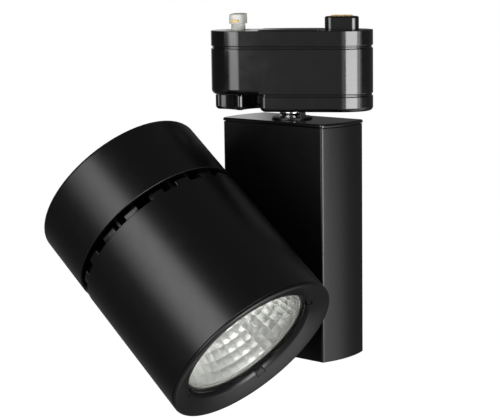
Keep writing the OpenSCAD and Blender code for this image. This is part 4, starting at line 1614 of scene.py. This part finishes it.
    def facets(self, line: Array, corner: Array) -> Patch:
        """The inside of the bowl: flat trapezoids that swell a little towards the axis.

        Each one is laid out on its own small grid and swells by bulge times
        (1 - (2s - 1)^2)(1 - (2q - 1)^2), with s and q from 0 to 1 across it.

        Args:
            line: radius and height of each row of corners.
            corner: cosine and sine of each column's angle.

        Returns:
            The mesh.
        """
        fine = self.fine
        level = np.repeat(line[:, 1:, None], len(corner), 1)
        node = np.concatenate([line[:, :1, None] * corner, level], -1)
        s = np.linspace(0, 1, fine + 1)
        s0, s1 = s[:, None, None], s[None, :, None]
        c00, c01 = node[:-1, :-1, None, None], node[:-1, 1:, None, None]
        c10, c11 = node[1:, :-1, None, None], node[1:, 1:, None, None]
        flat = (c00 * (1 - s0) + c10 * s0) * (1 - s1) + (c01 * (1 - s0) + c11 * s0) * s1
        normal = np.cross(node[1:, :-1] - node[:-1, :-1], node[:-1, 1:] - node[:-1, :-1])
        normal /= np.linalg.norm(normal, axis=-1, keepdims=True)
        centre = flat.mean((2, 3))
        normal *= -np.sign((normal[..., :2] * centre[..., :2]).sum(-1, keepdims=True))
        lift = self.bulge * (1 - (2 * s0 - 1) ** 2) * (1 - (2 * s1 - 1) ** 2)
        cells = (flat + normal[:, :, None, None] * lift).reshape(-1, fine + 1, fine + 1, 3)
        index = np.arange((fine + 1) ** 2).reshape(fine + 1, fine + 1)
        cell = np.stack([index[:-1, :-1], index[1:, :-1], index[1:, 1:], index[:-1, 1:]], -1)
        offsets = (np.arange(len(cells)) * index.size)[:, None, None]
        return Patch(cells.reshape(-1, 3), (cell.reshape(-1, 4)[None] + offsets).reshape(-1, 4))

    def shell(self, line: Array, corner: Array, lip: float) -> Patch:
        """The outside of the bowl, with its flat rim.

        Args:
            line: radius and height of each row of corners.
            corner: cosine and sine of each column's angle.
            lip: inner radius of the lip.

        Returns:
            The mesh, with points where those of the facets are.
        """
        start, wall, rim = self.bowl_start, self.bowl_wall, self.glass_r - self.play
        back, top, edge = start + self.rim_thick, line[0, 1], lip + 0.6
        outer = [(r + wall, z) for r, z in line[:0:-1]]
        loop = np.array([line[-1], *outer, (self.mouth + 1.4, back), (rim, back), (rim, start),
                         (edge, start), (edge, top - 0.3), (lip, top - 0.3), (lip, top), line[0]])
        s = np.linspace(0, 1, self.fine + 1)[:-1, None]
        ring = (corner[:-1, None] + s * (corner[1:, None] - corner[:-1, None])).reshape(-1, 2)
        level = np.repeat(loop[:, None, 1:], len(ring), 1)
        return surface(np.concatenate([loop[:, None, :1] * ring, level], -1))

    def holder(self) -> None:
        """Makes the moulded holder round the lamp, seen through the throat."""
        front, back = self.span("led_holder", 2)
        throat, r = self.throat, self.axes.reach("led_holder")
        line = profile([(throat, front, 0.3), (r, front, 1), (r, back, 0), (throat, back, 0)],
                       closed=True)
        self.add("lamp_holder", revolve(line, 96), Slot.NYLON, "led_holder")


# ------------------------------------------------------------------ studio


def facing(x: Array, y: Array, z: Array, place: Sequence[float]) -> Matrix:
    """A world matrix from the directions of an object's axes and its place in metres."""
    return Matrix.Translation(place) @ Matrix(np.column_stack([x, y, z]).tolist()).to_4x4()


@dataclass(frozen=True)
class Lamp:
    """A soft rectangular lamp that faces the object, with its lengths in metres.

    Its azimuth runs from 0 towards -Y to 90 towards +X, its elevation is over the horizon, and
    a glow of 1 is white.
    """

    name: str
    azimuth: float
    elevation: float
    distance: float
    width: float
    height: float
    glow: float

    def build(self) -> None:
        """Puts the lamp in the scene."""
        az, el = radians(self.azimuth), radians(self.elevation)
        toward = np.array([sin(az) * cos(el), -cos(az) * cos(el), sin(el)])
        middle = np.array([(a + b) / 2 for a, b in zip(*CAD_BOX)])
        data = bpy.data.lights.new(self.name, "AREA")
        data.shape = "RECTANGLE"
        data.size, data.size_y = self.width, self.height
        data.energy = self.glow * pi * self.width * self.height
        side = np.cross(UP, toward)
        side /= np.linalg.norm(side)
        lamp = in_scene(self.name, data)
        lamp.matrix_world = facing(side, np.cross(toward, side), toward,
                                   (middle + toward * self.distance).tolist())


LAMPS = (
    Lamp("left_softbox", -32, 21.5, 1.6, 0.85, 1.2, 2.6),
    Lamp("left_fill", -37, 21.5, 1.62, 1.25, 1.25, 1.3),
    Lamp("low_softbox", -25.5, -1, 1.6, 0.7, 0.2, 2.0),
    Lamp("low_fill", -27.5, -1, 1.62, 0.88, 0.2, 1.8),
    Lamp("right_softbox", 41, -3, 1.8, 1.1, 0.6, 9.3),
    Lamp("right_fill", 44, -3, 1.82, 2.27, 0.6, 0.9),
    Lamp("side_softbox", 63, -3, 1.8, 0.36, 0.6, 2.2),
)


@dataclass
class Studio:
    """Camera, floor, lamps and world.

    The floor's table gives the brightness of a painted pool of light, which reflections show on
    the floor at each azimuth round the object. The pairs that end in _x, _y and _z are where the
    world's brightness starts and ends to change, along a direction's coordinate.
    """

    place: Triple = (0.173205, -1.056596, 0.049164)
    pitch: float = 8.8481
    yaw: float = -10.8172
    roll: float = 0.7701
    lens: float = 119.06
    floor_drop: float = 0.32
    floor_reach: float = 4.5
    floor_glow: float = 0.97
    floor_grey: float = 0.3
    # painted light: brightness of a pool of light painted on the floor for reflections, at each azimuth
    floor_dial: tuple[tuple[float, float], ...] = (
        (-180, 0.12), (-150, 0.2), (-134, 0.14), (-120, 0.1), (-105, 0.07), (-84, 0.07),
        (-72, 0.13), (-60, 0.25), (0, 0.3), (60, 1.0), (80, 1.7), (88, 1.45), (108, 0.3),
        (128, 0.12), (150, 0.09), (180, 0.12))
    room_left: float = 0.07
    room_right: float = 0.13
    room_x: tuple[float, float] = (-0.6, 0.6)
    front_glow: float = 0.33
    front_y: tuple[float, float] = (-0.98, -0.8)
    back_left: float = 0.62
    back_right: float = 0.08
    back_x: tuple[float, float] = (-0.188, -0.162)
    back_y: tuple[float, float] = (0.6, 0.9)
    band_z: tuple[float, float] = (0.2, 0.4)

    def build(self) -> None:
        """Sets up everything round the object."""
        self.camera()
        self.floor()
        self.world()
        for lamp in LAMPS:
            lamp.build()
        bpy.context.scene.view_settings.view_transform = "Standard"

    def camera(self) -> None:
        """The camera: it looks along its yaw, down by its pitch, and is rolled a little."""
        pitch, yaw, roll = radians(self.pitch), radians(self.yaw), radians(self.roll)
        ahead = np.array([sin(yaw) * cos(pitch), cos(yaw) * cos(pitch), -sin(pitch)])
        right = np.array([cos(yaw), -sin(yaw), 0.0])
        down = np.cross(ahead, right)
        data = bpy.data.cameras.new("camera")
        data.sensor_width, data.lens = 36, self.lens
        data.clip_start, data.clip_end = 0.05, 50
        camera = in_scene("camera", data)
        camera.matrix_world = facing(cos(roll) * right + sin(roll) * down,
                                     sin(roll) * right - cos(roll) * down, -ahead, self.place)
        bpy.context.scene.camera = camera

    def floor(self) -> None:
        """A wide pale floor below the object, white as the backdrop where nothing shades it; reflections see a
        painted pool of light.
        """
        low, r = CAD_BOX[0][2] - self.floor_drop, self.floor_reach
        mesh = bpy.data.meshes.new("floor")
        corners = [(-r, -r, low), (r, -r, low), (r, r, low), (-r, r, low)]
        mesh.from_pydata(corners, [], [(0, 1, 2, 3)])
        obj = in_scene("floor", mesh)
        board = Board("pale_floor")
        grey = self.floor_grey
        board.fill(board.shader, Base_Color=(grey, grey, grey, 1), Roughness=0.9,
                   Specular_IOR_Level=0.1)
        # gloss is the painted pool of light: an emission that only reflections see, with no shadow in it
        bright, gloss = board.new("Emission"), board.new("Emission")
        both, mix = board.new("AddShader"), board.new("MixShader")
        glossy = board.new("LightPath").outputs["Is Glossy Ray"]
        for out, socket in (
                (board.math("MULTIPLY", board.seen(), self.floor_glow), bright.inputs["Strength"]),
                (self.dial(board), gloss.inputs["Strength"]),
                (board.shader.outputs[0], both.inputs[0]), (bright.outputs[0], both.inputs[1]),
                (glossy, mix.inputs[0]), (both.outputs[0], mix.inputs[1]),
                (gloss.outputs[0], mix.inputs[2]),
                (mix.outputs[0], board.nodes["Material Output"].inputs["Surface"])):
            board.links.new(out, socket)
        mesh.materials.append(board.material)

    def dial(self, board: Board) -> Socket:
        """Painted pool of light on the floor as gloss shows it: brightest on the side of the right lamps.

        Args:
            board: the floor's material.

        Returns:
            The brightness, which follows the azimuth round the object as floor_dial gives it.
        """
        axes = board.new("SeparateXYZ")
        board.links.new(board.place, axes.inputs["Vector"])
        x, y, _ = axes.outputs
        turn = board.math("ARCTAN2", x, board.math("MULTIPLY", y, -1))
        ramp = board.new("ValToRGB")
        stops = ramp.color_ramp.elements
        top = max(glow for _, glow in self.floor_dial)
        while len(stops) < len(self.floor_dial):
            stops.new(0.5)
        for stop, (azimuth, glow) in zip(stops, self.floor_dial):
            stop.position = 0.5 + azimuth / 360
            stop.color = (glow / top, glow / top, glow / top, 1)
        board.links.new(board.math("MULTIPLY_ADD", turn, 0.5 / pi, 0.5), ramp.inputs["Fac"])
        return board.math("MULTIPLY", ramp.outputs["Color"], top)

    def world(self) -> None:
        """White behind the object, dim elsewhere, and white all round for the camera."""
        world = bpy.data.worlds.new("studio")
        bpy.context.scene.world = world
        tree = Tree(world)
        back = tree.fill(tree.nodes["Background"], Color=WHITE)
        axes = tree.new("SeparateXYZ")
        tree.links.new(tree.new("TexCoord").outputs["Generated"], axes.inputs["Vector"])
        x, y, z = axes.outputs
        band = tree.between(tree.math("ABSOLUTE", z), *self.band_z, 1, 0, SMOOTH)
        behind = tree.between(y, *self.back_y, 0, 1, SMOOTH)
        sides = tree.between(x, *self.back_x, self.back_left, self.back_right, SMOOTH)
        wall = tree.math("MULTIPLY", tree.math("MULTIPLY", behind, sides), band)
        front = tree.between(y, *self.front_y, self.front_glow, 0, SMOOTH)
        room = tree.math("ADD", tree.math("MULTIPLY", front, band), wall)
        lit = tree.math("MAXIMUM", room, tree.seen())
        rest = tree.between(x, *self.room_x, self.room_left, self.room_right, SMOOTH)
        tree.links.new(tree.math("MAXIMUM", lit, rest), back.inputs["Strength"])


# ------------------------------------------------------------------ the whole


def dress_frame() -> None:
    """Gives every CAD node that still shows the finish of its slot in the record."""
    slots = {row["node"]: row["material_slot"] for row in frame["record"]["subparts"]}
    for name, node in frame["nodes"].items():
        if node.hide_render:
            continue
        material = Slot[slots[name].upper()].material
        node.data.materials.clear()
        node.data.materials.append(material)


def main() -> None:
    """Builds the studio and each sub-assembly in order."""
    logging.basicConfig(level=logging.INFO, format="%(name)s: %(message)s")
    Studio().build()
    for part in (TrackAdapter(), TrackLock(), DriverBox(), TiltJoint(), LampHead(), Optics()):
        log.info("building %s", type(part).__name__)
        part.build()
    dress_frame()


if __name__ == "__main__":
    main()
